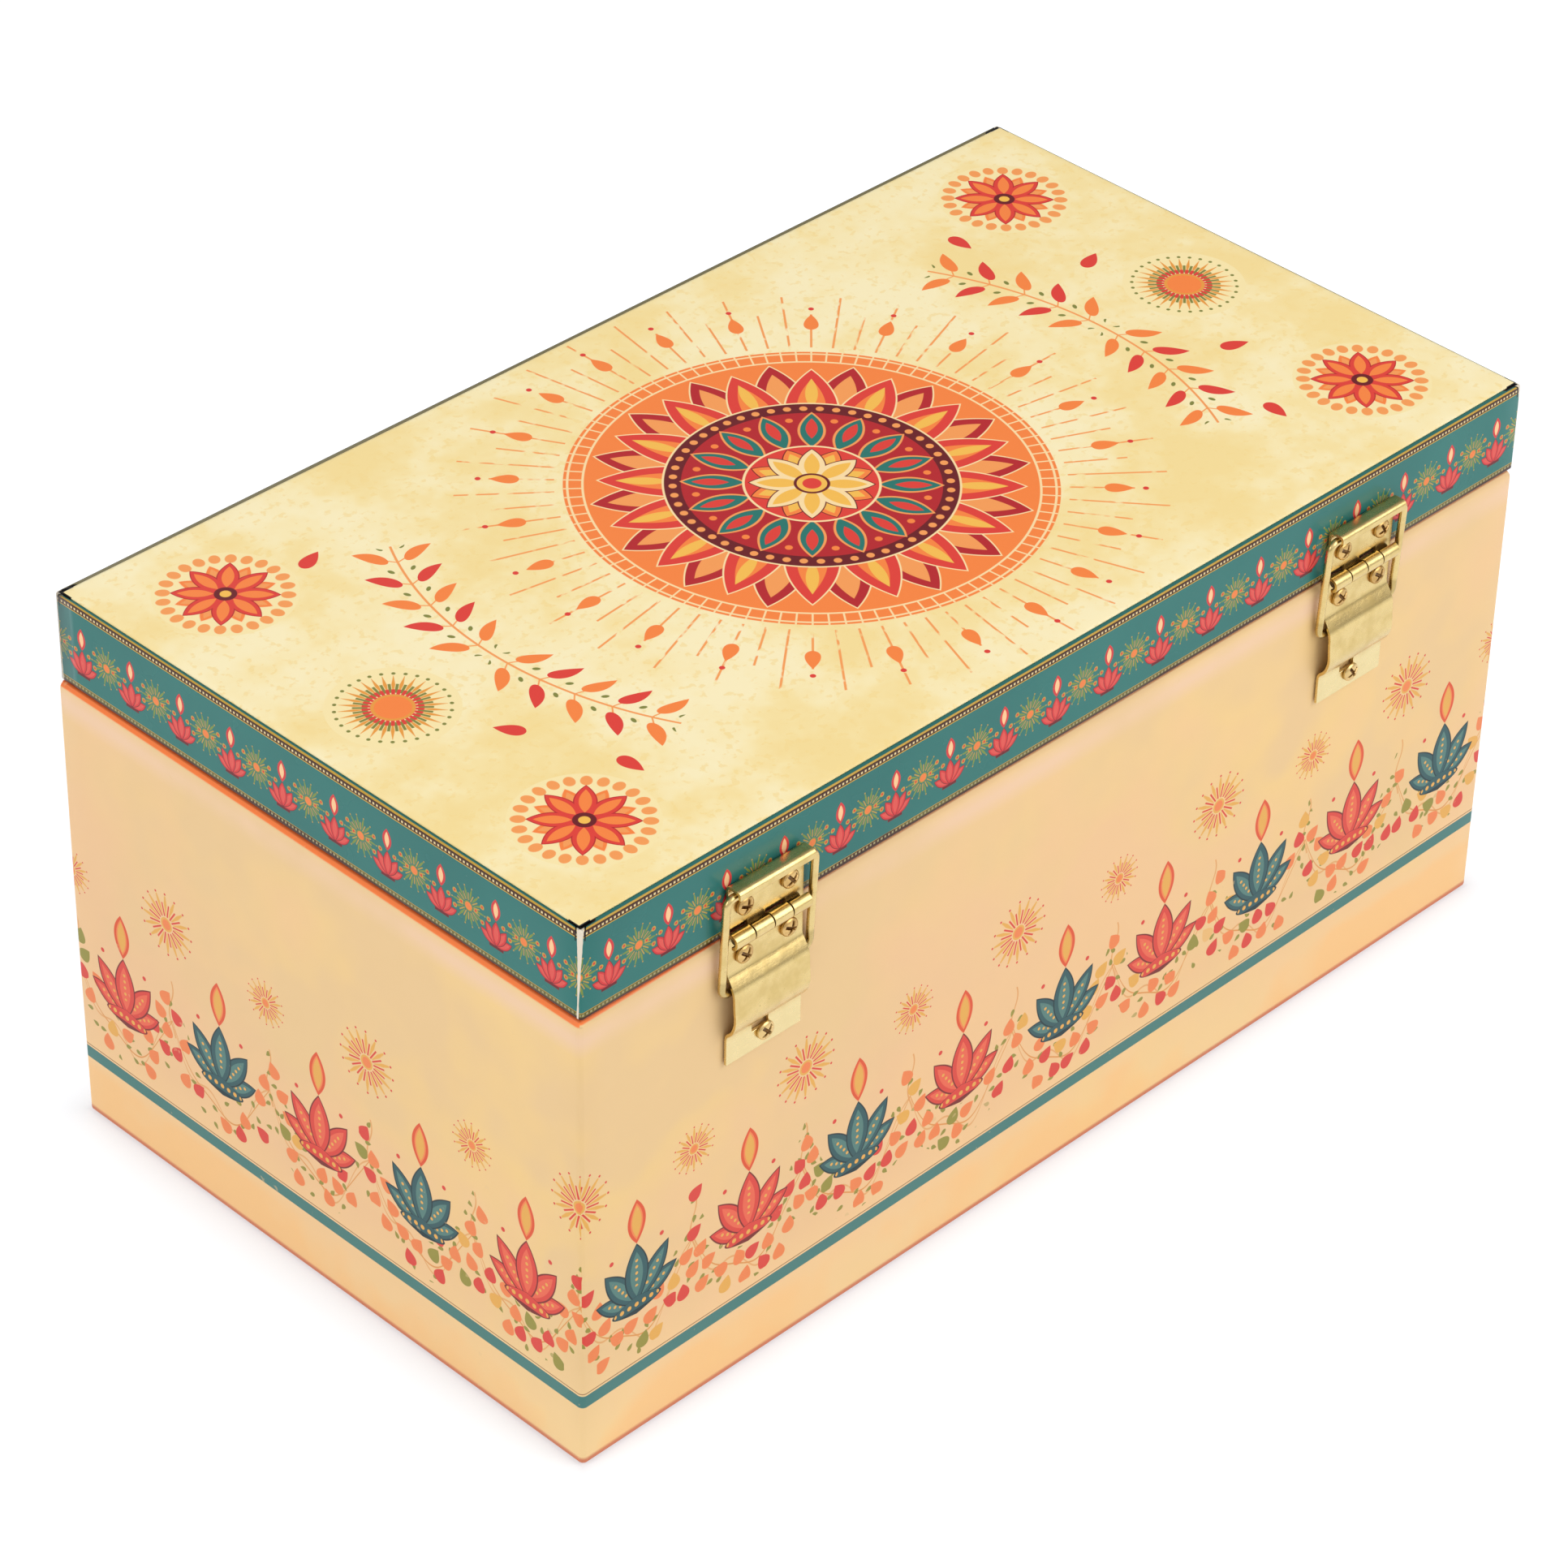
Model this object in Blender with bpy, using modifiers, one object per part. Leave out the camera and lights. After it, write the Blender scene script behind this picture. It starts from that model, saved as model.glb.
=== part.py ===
# Paper-covered board gift box for jars, with a shallow lid on two spring-stay hinges.
# Metres, +Z up. X runs along the box, the front faces -Y and the hinges are on the back, at +Y.
# The origin is on the table, under the middle of the case.
import math

import bmesh
import bpy
from mathutils import Matrix, Vector

# Outside of the box
CASE_LENGTH = 0.306
CASE_DEPTH = 0.1715
BOX_HEIGHT = 0.1494
LID_HEIGHT = 0.0241
SEAM_GAP = 0.0005
CASE_CORNER_RADIUS = 0.003
CASE_RIM_RADIUS = 0.0022
LID_CORNER_RADIUS = 0.0014
LID_END_INSET = 0.0004
LID_FRONT_INSET = 0.0010

# Boards and papers
WALL_BOARD = 0.005
BASE_BOARD = 0.004
LID_BOARD = 0.004
WRAP_PAPER = 0.0006
SHEET_PAPER = 0.0005
BASE_PAPER = 0.0006
GLUE_GAP = 0.0003
BASE_SHEET_INSET = 0.003
TOP_SHEET_INSET = 0.0010
CASE_TURN_UNDER = 0.012
LID_TURN_OVER = 0.010

# Jar partition, halved together from strips of card
BAYS_LONG = 4
PARTITION_CARD = 0.002
PARTITION_HEIGHT = 0.080
PARTITION_END_GAP = 0.0005
HALVING_GAP = 0.0003

# Spring-stay hinges: distances from the box's ends, then heights above and below the barrel's axis
RIGHT_HINGE_FROM_END = 0.0532
LEFT_HINGE_FROM_END = 0.0585
LEAF_WIDTH = 0.0226
LEAF_SHEET = 0.0008
BARREL_RADIUS = 0.0019
KNUCKLES = 4
KNUCKLE_GAP = 0.0003
KNUCKLE_RELIEF = 0.0008
PIN_CLEARANCE = 0.0001
PIN_RECESS = 0.0008
WIRE_RADIUS = 0.00095
HOOK_CLEARANCE = 0.0005
HOOK_UP = 0.0122
HOOK_LIP = 0.0008
FOOT_DOWN = 0.0140
FOOT_LENGTH = 0.0042
WIRE_BEND = 0.0021
LEG_GAP = 0.00095
LID_OPEN_DEGREES = 90.0
BRIDGE_START_DOWN = 0.01025
BRIDGE_END_DOWN = 0.02665
BRIDGE_CLEARANCE = 0.0002
BRIDGE_RAMP = 0.30
TAB_LENGTH = 0.0075
LATCH_SLOT_WIDTH = 0.0048
LATCH_SLOT_HEIGHT = 0.0024
LATCH_SLOT_ASIDE = 0.0018

# Screws
LID_SCREW_UP = 0.00735
CASE_SCREW_DOWN = 0.00555
TAB_SCREW_BELOW_BRIDGE = 0.0034
SCREW_SPACING = 0.0134
SCREW_HEAD_RADIUS = 0.0024
SCREW_HEAD_HEIGHT = 0.0013
SCREW_HEAD_EDGE = 0.0004
SCREW_SHANK_RADIUS = 0.00105
SCREW_SHANK_LENGTH = 0.0052
SCREW_POINT = 0.0012
SCREW_HOLE_GAP = 0.0003
SCREW_SEAT_GAP = 0.0002
CROSS_LENGTH = 0.0026
CROSS_WIDTH = 0.00055
CROSS_DEPTH = 0.0007

# Facets
CORNER_SEGMENTS = 4
ROLL_STEP_DEGREES = 22.5
BRIDGE_STEPS = 16
HOLE_SIDES = 16
SCREW_SIDES = 20
DOME_STEPS = 4
WIRE_BEND_STEPS = 6
WIRE_BEVEL_RESOLUTION = 2
CUT_MARGIN = 0.002
SMOOTH_ANGLE = math.radians(35)

# Heights and insets that follow from the sizes above
CASE_TOP = BOX_HEIGHT - LID_HEIGHT - SEAM_GAP
LID_BOTTOM = BOX_HEIGHT - LID_HEIGHT
BAND_TOP = BOX_HEIGHT - SHEET_PAPER - GLUE_GAP
WRAP_BOTTOM = BASE_PAPER + GLUE_GAP
BOARD_INSET = WRAP_PAPER + GLUE_GAP
INSIDE_INSET = BOARD_INSET + WALL_BOARD + GLUE_GAP
TURN_IN_FACE = INSIDE_INSET + WRAP_PAPER
BASE_BOTTOM = WRAP_BOTTOM + BOARD_INSET
BASE_TOP = BASE_BOTTOM + BASE_BOARD
LINING_BOTTOM = BASE_TOP + GLUE_GAP
PARTITION_BOTTOM = LINING_BOTTOM + SHEET_PAPER + GLUE_GAP
LID_PANEL_TOP = BAND_TOP - BOARD_INSET
LID_PANEL_BOTTOM = LID_PANEL_TOP - LID_BOARD
LID_LINING_TOP = LID_PANEL_BOTTOM - GLUE_GAP
LID_LINING_BOTTOM = LID_LINING_TOP - SHEET_PAPER

# Hinge places measured outward from the back of the box and up from the barrel's axis
SEAM_HEIGHT = CASE_TOP + SEAM_GAP / 2
BACK_FACE = CASE_DEPTH / 2
LEAF_MIDDLE_OUT = GLUE_GAP + LEAF_SHEET / 2
LEAF_FACE_OUT = GLUE_GAP + LEAF_SHEET
AXIS_OUT = GLUE_GAP + BARREL_RADIUS
ROLL_RADIUS = BARREL_RADIUS - LEAF_SHEET / 2
PIN_RADIUS = BARREL_RADIUS - LEAF_SHEET - PIN_CLEARANCE
HOOK_RADIUS = WIRE_RADIUS + HOOK_CLEARANCE + LEAF_SHEET / 2
HOOK_OUT = LEAF_MIDDLE_OUT + HOOK_RADIUS
FOOT_OUT = GLUE_GAP + WIRE_RADIUS
LEG_X = LEAF_WIDTH / 2 + LEG_GAP + WIRE_RADIUS
SCREW_HOLE_RADIUS = SCREW_SHANK_RADIUS + SCREW_HOLE_GAP
BAIL_LENGTH = math.hypot(HOOK_OUT - FOOT_OUT, HOOK_UP + FOOT_DOWN)


def clear_scene():
    for obj in list(bpy.data.objects):
        bpy.data.objects.remove(obj, do_unlink=True)


def add_collection(name):
    collection = bpy.data.collections.new(name)
    bpy.context.scene.collection.children.link(collection)
    return collection


def add_material(name, color, roughness, metallic=0.0):
    material = bpy.data.materials.new(name)
    material.use_nodes = True
    shader = material.node_tree.nodes["Principled BSDF"]
    shader.inputs["Base Color"].default_value = (*color, 1.0)
    shader.inputs["Roughness"].default_value = roughness
    shader.inputs["Metallic"].default_value = metallic
    material.diffuse_color = (*color, 1.0)
    return material


def link_mesh(name, mesh, collection, material=None):
    obj = bpy.data.objects.new(name, mesh)
    collection.objects.link(obj)
    if material:
        mesh.materials.clear()
        mesh.materials.append(material)
    return obj


def mesh_from(bm, name):
    bmesh.ops.recalc_face_normals(bm, faces=bm.faces)
    mesh = bpy.data.meshes.new(name)
    bm.to_mesh(mesh)
    bm.free()
    return mesh


def add_cutter(name, mesh):
    cutter = link_mesh(name, mesh, cutters)
    cutter.hide_render = True
    cutter.display_type = "WIRE"
    return cutter


def cube_between(bm, low, high):
    low = Vector(low)
    high = Vector(high)
    made = bmesh.ops.create_cube(bm, size=1.0)
    bmesh.ops.scale(bm, vec=high - low, verts=made["verts"])
    bmesh.ops.translate(bm, vec=(low + high) / 2, verts=made["verts"])


def box_mesh(name, low, high):
    bm = bmesh.new()
    cube_between(bm, low, high)
    return mesh_from(bm, name)


# A block over a plan (x and y, low and high), with rounded upright corners and a rounded top edge.
def block_mesh(name, plan, bottom, top, corner, rim=0.0):
    (x_low, y_low), (x_high, y_high) = plan
    bm = bmesh.new()
    cube_between(bm, (x_low, y_low, bottom), (x_high, y_high, top))
    uprights = [e for e in bm.edges if abs(e.verts[0].co.z - e.verts[1].co.z) > (top - bottom) / 2]
    bmesh.ops.bevel(bm, geom=uprights, offset=corner, segments=CORNER_SEGMENTS, profile=0.5, affect="EDGES")
    if rim > 0:
        edge = [e for e in bm.edges if min(v.co.z for v in e.verts) > top - rim / 2]
        bmesh.ops.bevel(bm, geom=edge, offset=rim, segments=CORNER_SEGMENTS, profile=0.5, affect="EDGES")
    return mesh_from(bm, name)


def inset_plan(plan, inset):
    (x_low, y_low), (x_high, y_high) = plan
    return ((x_low + inset, y_low + inset), (x_high - inset, y_high - inset))


def plan_box(name, plan, inset, bottom, top):
    low, high = inset_plan(plan, inset)
    return box_mesh(name, (*low, bottom), (*high, top))


def cut(target, cutter, operation="DIFFERENCE"):
    modifier = target.modifiers.new(f"{operation.lower()} {cutter.name}", "BOOLEAN")
    modifier.operation = operation
    modifier.solver = "EXACT"
    modifier.object = cutter


# The mesh that an object's modifiers or curve make, for pieces that share it or are cut further.
def evaluated_mesh(obj, name):
    graph = bpy.context.evaluated_depsgraph_get()
    mesh = bpy.data.meshes.new_from_object(obj.evaluated_get(graph))
    mesh.name = name
    return mesh


# Screws of both hinges as (name, x, height above the seam), for the case or for the lid.
def screw_places(side, hinge_x, on_lid):
    half = SCREW_SPACING / 2
    if on_lid:
        return [
            (f"lid_screw_{side}_outer", hinge_x + half, LID_SCREW_UP),
            (f"lid_screw_{side}_inner", hinge_x - half, LID_SCREW_UP),
        ]
    return [
        (f"case_screw_{side}_outer", hinge_x + half, -CASE_SCREW_DOWN),
        (f"case_screw_{side}_inner", hinge_x - half, -CASE_SCREW_DOWN),
        (f"case_screw_{side}_tab", hinge_x, -BRIDGE_END_DOWN - TAB_SCREW_BELOW_BRIDGE),
    ]


# Round holes along Y, one for each screw, from one distance out of the back face to another.
def screw_hole_mesh(name, places, out_from, out_to):
    bm = bmesh.new()
    for _, x, up in places:
        middle = Vector((x, BACK_FACE + (out_from + out_to) / 2, SEAM_HEIGHT + up))
        turn = Matrix.Translation(middle) @ Matrix.Rotation(math.pi / 2, 4, "X")
        bmesh.ops.create_cone(
            bm,
            cap_ends=True,
            segments=HOLE_SIDES,
            radius1=SCREW_HOLE_RADIUS,
            radius2=SCREW_HOLE_RADIUS,
            depth=out_to - out_from,
            matrix=turn,
        )
    return mesh_from(bm, name)


# Case: boards, printed wrap and papers
def build_case(holes):
    plan = ((-CASE_LENGTH / 2, -CASE_DEPTH / 2), (CASE_LENGTH / 2, CASE_DEPTH / 2))
    core = add_cutter(
        "case_board_outline",
        block_mesh(
            "case_board_outline",
            inset_plan(plan, BOARD_INSET),
            BASE_BOTTOM,
            CASE_TOP - BOARD_INSET,
            CASE_CORNER_RADIUS - BOARD_INSET,
            CASE_RIM_RADIUS - BOARD_INSET,
        ),
    )
    build_walls("case", plan, core, BASE_BOTTOM, CASE_TOP - BOARD_INSET, board_brown, holes, parts)
    base = plan_box("base_board", plan, INSIDE_INSET, BASE_BOTTOM, BASE_TOP)
    link_mesh("base_board", base, parts, board_brown)
    lining_inset = INSIDE_INSET + GLUE_GAP
    lining = plan_box("floor_lining", plan, lining_inset, LINING_BOTTOM, LINING_BOTTOM + SHEET_PAPER)
    link_mesh("floor_lining", lining, parts, lining_orange)
    sheet = block_mesh(
        "base_sheet",
        inset_plan(plan, BASE_SHEET_INSET),
        0.0,
        BASE_PAPER,
        CASE_CORNER_RADIUS,
    )
    link_mesh("base_sheet", sheet, parts, rim_orange)
    build_case_wrap(plan, holes)
    build_partition(plan)


# Four wall boards, cut to the rounded outline of the board shell: the long ones run the full length.
def build_walls(owner, plan, core, bottom, top, material, holes, collection):
    (x_low, y_low), (x_high, y_high) = inset_plan(plan, BOARD_INSET)
    inner = WALL_BOARD
    low = bottom - CUT_MARGIN
    high = top + CUT_MARGIN
    end_y_low = y_low + inner + GLUE_GAP
    end_y_high = y_high - inner - GLUE_GAP
    spans = {
        f"{owner}_front_wall": ((x_low - CUT_MARGIN, y_low - CUT_MARGIN), (x_high + CUT_MARGIN, y_low + inner)),
        f"{owner}_back_wall": ((x_low - CUT_MARGIN, y_high - inner), (x_high + CUT_MARGIN, y_high + CUT_MARGIN)),
        f"{owner}_left_wall": ((x_low - CUT_MARGIN, end_y_low), (x_low + inner, end_y_high)),
        f"{owner}_right_wall": ((x_high - inner, end_y_low), (x_high + CUT_MARGIN, end_y_high)),
    }
    for name, (near, far) in spans.items():
        wall = link_mesh(name, box_mesh(name, (*near, low), (*far, high)), collection, material)
        cut(wall, core, "INTERSECT")
        if name.endswith("back_wall"):
            cut(wall, holes)


# The wrap covers the outside, rolls over the rim, lines the walls down to the floor lining, and turns
# under the base.
def build_case_wrap(plan, holes):
    wrap = link_mesh(
        "case_wrap",
        block_mesh("case_wrap", plan, WRAP_BOTTOM, CASE_TOP, CASE_CORNER_RADIUS, CASE_RIM_RADIUS),
        parts,
        wrap_peach,
    )
    hollow = add_cutter(
        "case_wrap_hollow",
        block_mesh(
            "case_wrap_hollow",
            inset_plan(plan, WRAP_PAPER),
            WRAP_BOTTOM + WRAP_PAPER,
            CASE_TOP - WRAP_PAPER,
            CASE_CORNER_RADIUS - WRAP_PAPER,
            CASE_RIM_RADIUS - WRAP_PAPER,
        ),
    )
    socket = plan_box("case_turn_in_socket", plan, INSIDE_INSET, PARTITION_BOTTOM, CASE_TOP + CUT_MARGIN)
    cut(hollow, add_cutter("case_turn_in_socket", socket))
    cut(wrap, hollow)
    mouth_bottom = PARTITION_BOTTOM - CUT_MARGIN
    mouth = plan_box("case_mouth", plan, TURN_IN_FACE, mouth_bottom, CASE_TOP + CUT_MARGIN)
    cut(wrap, add_cutter("case_mouth", mouth))
    under_top = WRAP_BOTTOM + WRAP_PAPER + CUT_MARGIN
    under = plan_box("case_underside", plan, CASE_TURN_UNDER, -CUT_MARGIN, under_top)
    cut(wrap, add_cutter("case_underside", under))
    cut(wrap, holes)


# Card strips halved together: one runs along the box and the rest cross it, one row of bays each side.
def build_partition(plan):
    (x_low, y_low), (x_high, y_high) = inset_plan(plan, TURN_IN_FACE + PARTITION_END_GAP)
    half_card = PARTITION_CARD / 2
    top = PARTITION_BOTTOM + PARTITION_HEIGHT
    middle = PARTITION_BOTTOM + PARTITION_HEIGHT / 2
    slot_half = half_card + HALVING_GAP
    pitch = (x_high - x_low) / BAYS_LONG
    crossings = [x_low + pitch * number for number in range(1, BAYS_LONG)]
    strip = link_mesh(
        "partition_long",
        box_mesh("partition_long", (x_low, -half_card, PARTITION_BOTTOM), (x_high, half_card, top)),
        parts,
        partition_card,
    )
    for number, x in enumerate(crossings, 1):
        name = f"partition_cross_{number}"
        cross = link_mesh(
            name,
            box_mesh(name, (x - half_card, y_low, PARTITION_BOTTOM), (x + half_card, y_high, top)),
            parts,
            partition_card,
        )
        upper = box_mesh(
            f"long_slot_{number}",
            (x - slot_half, -CUT_MARGIN, middle - HALVING_GAP),
            (x + slot_half, CUT_MARGIN, top + CUT_MARGIN),
        )
        cut(strip, add_cutter(f"long_slot_{number}", upper))
        lower = box_mesh(
            f"cross_slot_{number}",
            (x - CUT_MARGIN, -slot_half, PARTITION_BOTTOM - CUT_MARGIN),
            (x + CUT_MARGIN, slot_half, middle + HALVING_GAP),
        )
        cut(cross, add_cutter(f"cross_slot_{number}", lower))


# Lid: a shallow tray of boards under a printed band, with its own top sheet
def build_lid(holes):
    half_length = CASE_LENGTH / 2 - LID_END_INSET
    plan = ((-half_length, -CASE_DEPTH / 2 + LID_FRONT_INSET), (half_length, CASE_DEPTH / 2))
    wall_bottom = LID_BOTTOM + BOARD_INSET
    wall_top = LID_PANEL_BOTTOM - GLUE_GAP
    corner = LID_CORNER_RADIUS - BOARD_INSET
    core = add_cutter(
        "lid_board_outline",
        block_mesh("lid_board_outline", inset_plan(plan, BOARD_INSET), wall_bottom, wall_top, corner),
    )
    build_walls("lid", plan, core, wall_bottom, wall_top, board_brown, holes, parts)
    panel = block_mesh("lid_board", inset_plan(plan, BOARD_INSET), LID_PANEL_BOTTOM, LID_PANEL_TOP, corner)
    link_mesh("lid_board", panel, parts, board_brown)
    lining = plan_box("lid_lining", plan, INSIDE_INSET, LID_LINING_BOTTOM, LID_LINING_TOP)
    link_mesh("lid_lining", lining, parts, lining_orange)
    sheet = block_mesh(
        "lid_top_sheet",
        inset_plan(plan, TOP_SHEET_INSET),
        BOX_HEIGHT - SHEET_PAPER,
        BOX_HEIGHT,
        LID_CORNER_RADIUS / 2,
    )
    link_mesh("lid_top_sheet", sheet, parts, sheet_cream)
    build_lid_band(plan, holes)


# The band covers the lid's sides, turns over the top under the sheet, and lines the walls inside.
def build_lid_band(plan, holes):
    band = link_mesh(
        "lid_band",
        block_mesh("lid_band", plan, LID_BOTTOM, BAND_TOP, LID_CORNER_RADIUS),
        parts,
        band_teal,
    )
    hollow = add_cutter(
        "lid_band_hollow",
        block_mesh(
            "lid_band_hollow",
            inset_plan(plan, WRAP_PAPER),
            LID_BOTTOM + WRAP_PAPER,
            BAND_TOP - WRAP_PAPER,
            LID_CORNER_RADIUS - WRAP_PAPER,
        ),
    )
    turn_in_top = LID_LINING_BOTTOM - GLUE_GAP
    socket = plan_box("lid_turn_in_socket", plan, INSIDE_INSET, LID_BOTTOM - CUT_MARGIN, turn_in_top)
    cut(hollow, add_cutter("lid_turn_in_socket", socket))
    cut(band, hollow)
    mouth = plan_box("lid_mouth", plan, TURN_IN_FACE, LID_BOTTOM - CUT_MARGIN, turn_in_top + CUT_MARGIN)
    cut(band, add_cutter("lid_mouth", mouth))
    over_bottom = BAND_TOP - WRAP_PAPER - CUT_MARGIN
    window = plan_box("lid_band_window", plan, LID_TURN_OVER, over_bottom, BAND_TOP + CUT_MARGIN)
    cut(band, add_cutter("lid_band_window", window))
    cut(band, holes)


# Linkage of the stay: the bail hangs from the lid's hook and its feet slide down the case.
def hook_point(degrees):
    angle = math.radians(degrees)
    out = HOOK_OUT - AXIS_OUT
    return (
        AXIS_OUT + out * math.cos(angle) + HOOK_UP * math.sin(angle),
        HOOK_UP * math.cos(angle) - out * math.sin(angle),
    )


def bail_tilt(degrees):
    closed = math.asin((HOOK_OUT - FOOT_OUT) / BAIL_LENGTH)
    opened = math.asin((hook_point(LID_OPEN_DEGREES)[0] - FOOT_OUT) / BAIL_LENGTH)
    return closed + (opened - closed) * degrees / LID_OPEN_DEGREES


def foot_point(degrees):
    out, up = hook_point(degrees)
    tilt = bail_tilt(degrees)
    return out - BAIL_LENGTH * math.sin(tilt), up - BAIL_LENGTH * math.cos(tilt)


# Share of the bridge's height at a height below the axis: an eased ramp, a flat top and a ramp down.
def bridge_share(up):
    along = (-up - BRIDGE_START_DOWN) / (BRIDGE_END_DOWN - BRIDGE_START_DOWN)
    share = min(max(min(along, 1.0 - along) / BRIDGE_RAMP, 0.0), 1.0)
    return share * share * (3 - 2 * share)


# The bridge stands as high as the feet need all the way from closed to open.
def bridge_rise():
    reach = WIRE_RADIUS + BRIDGE_CLEARANCE + LEAF_SHEET / 2 - LEAF_MIDDLE_OUT
    path = [foot_point(LID_OPEN_DEGREES * step / BRIDGE_STEPS) for step in range(BRIDGE_STEPS + 1)]
    return max((out + reach) / bridge_share(up) for out, up in path)


def arc_points(centre, radius, start, end):
    steps = max(1, round(abs(end - start) / ROLL_STEP_DEGREES))
    angles = [math.radians(start + (end - start) * step / steps) for step in range(steps + 1)]
    return [(centre[0] + radius * math.cos(a), centre[1] + radius * math.sin(a)) for a in angles]


# Middle line of the case leaf, as (out, up): knuckle roll, flat, bridge and tab.
def case_leaf_line():
    roll = arc_points((AXIS_OUT, 0.0), ROLL_RADIUS, -90, 180)
    rise = bridge_rise()
    span = BRIDGE_END_DOWN - BRIDGE_START_DOWN
    heights = [-BRIDGE_START_DOWN - span * step / BRIDGE_STEPS for step in range(BRIDGE_STEPS + 1)]
    bridge = [(LEAF_MIDDLE_OUT + rise * bridge_share(up), up) for up in heights]
    return roll + bridge + [(LEAF_MIDDLE_OUT, -BRIDGE_END_DOWN - TAB_LENGTH)]


# Middle line of the lid leaf: knuckle roll, flat and the hook that holds the bail's bar.
def lid_leaf_line():
    roll = arc_points((AXIS_OUT, 0.0), ROLL_RADIUS, 450, 180)
    hook = arc_points((HOOK_OUT, HOOK_UP), HOOK_RADIUS, 180, 0)
    return roll + hook + [(HOOK_OUT + HOOK_RADIUS, HOOK_UP - HOOK_LIP)]


# A strip of sheet metal that follows a line of (out, up) points, as wide as the leaf.
def bent_strip(name, line, hinge_x, material):
    bm = bmesh.new()
    left = hinge_x - LEAF_WIDTH / 2
    row = [bm.verts.new((left, BACK_FACE + out, SEAM_HEIGHT + up)) for out, up in line]
    edges = [bm.edges.new(pair) for pair in zip(row, row[1:])]
    made = bmesh.ops.extrude_edge_only(bm, edges=edges)
    moved = [v for v in made["geom"] if isinstance(v, bmesh.types.BMVert)]
    bmesh.ops.translate(bm, vec=(LEAF_WIDTH, 0, 0), verts=moved)
    strip = link_mesh(name, mesh_from(bm, name), parts, material)
    shell = strip.modifiers.new("sheet", "SOLIDIFY")
    shell.thickness = LEAF_SHEET
    shell.offset = 0.0
    shell.use_even_offset = True
    return strip


# Boxes that clear one leaf away from the other leaf's knuckles.
def knuckle_notches(name, hinge_x, numbers, up_low, up_high):
    length = LEAF_WIDTH / KNUCKLES
    bm = bmesh.new()
    for number in numbers:
        high = hinge_x + LEAF_WIDTH / 2 - number * length + KNUCKLE_GAP / 2
        low = high - length - KNUCKLE_GAP
        high += CUT_MARGIN if number == 0 else 0.0
        low -= CUT_MARGIN if number == KNUCKLES - 1 else 0.0
        out_high = AXIS_OUT + BARREL_RADIUS + CUT_MARGIN
        cube_between(
            bm,
            (low, BACK_FACE - CUT_MARGIN, SEAM_HEIGHT + up_low),
            (high, BACK_FACE + out_high, SEAM_HEIGHT + up_high),
        )
    return add_cutter(name, mesh_from(bm, name))


def build_hinge(side, hinge_x):
    case_leaf = bent_strip(f"case_leaf_{side}", case_leaf_line(), hinge_x, hinge_brass)
    lid_leaf = bent_strip(f"lid_leaf_{side}", lid_leaf_line(), hinge_x, hinge_brass)
    clear = BARREL_RADIUS + KNUCKLE_RELIEF
    past = BARREL_RADIUS + CUT_MARGIN
    lid_knuckles = range(1, KNUCKLES, 2)
    case_knuckles = range(0, KNUCKLES, 2)
    cut(case_leaf, knuckle_notches(f"case_notches_{side}", hinge_x, lid_knuckles, -clear, past))
    cut(lid_leaf, knuckle_notches(f"lid_notches_{side}", hinge_x, case_knuckles, -past, clear))
    slot_top = SEAM_HEIGHT - BRIDGE_END_DOWN
    slot_x = hinge_x + LATCH_SLOT_ASIDE
    slot = box_mesh(
        f"latch_slot_{side}",
        (slot_x - LATCH_SLOT_WIDTH / 2, BACK_FACE - CUT_MARGIN, slot_top - LATCH_SLOT_HEIGHT),
        (slot_x + LATCH_SLOT_WIDTH / 2, BACK_FACE + LEAF_FACE_OUT + CUT_MARGIN, slot_top),
    )
    cut(case_leaf, add_cutter(f"latch_slot_{side}", slot))
    for leaf, on_lid in ((case_leaf, False), (lid_leaf, True)):
        name = f"{leaf.name}_screw_holes"
        places = screw_places(side, hinge_x, on_lid)
        holes = screw_hole_mesh(name, places, -CUT_MARGIN, LEAF_FACE_OUT + CUT_MARGIN)
        cut(leaf, add_cutter(name, holes))
    build_pin(side, hinge_x)
    build_bail(side, hinge_x)
    return lid_leaf


def build_pin(side, hinge_x):
    bm = bmesh.new()
    place = Matrix.Translation((hinge_x, BACK_FACE + AXIS_OUT, SEAM_HEIGHT))
    bmesh.ops.create_cone(
        bm,
        cap_ends=True,
        segments=HOLE_SIDES,
        radius1=PIN_RADIUS,
        radius2=PIN_RADIUS,
        depth=LEAF_WIDTH - 2 * PIN_RECESS,
        matrix=place @ Matrix.Rotation(math.pi / 2, 4, "Y"),
    )
    pin = link_mesh(f"hinge_pin_{side}", mesh_from(bm, f"hinge_pin_{side}"), parts, pin_steel)
    pin.data.shade_smooth()
    pin.data.set_sharp_from_angle(angle=SMOOTH_ANGLE)


# Half of the bail's middle line as (x, share of the way up from foot to hook bar).
def bail_half_line():
    def bend(x, along, start, end):
        angles = [math.radians(start + (end - start) * n / WIRE_BEND_STEPS) for n in range(WIRE_BEND_STEPS + 1)]
        return [(x + WIRE_BEND * math.cos(a), along + WIRE_BEND * math.sin(a)) for a in angles]

    inner = LEG_X - WIRE_BEND
    foot = [(LEG_X - FOOT_LENGTH, 0.0)]
    return foot + bend(inner, WIRE_BEND, -90, 0) + bend(inner, BAIL_LENGTH - WIRE_BEND, 0, 90)


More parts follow.
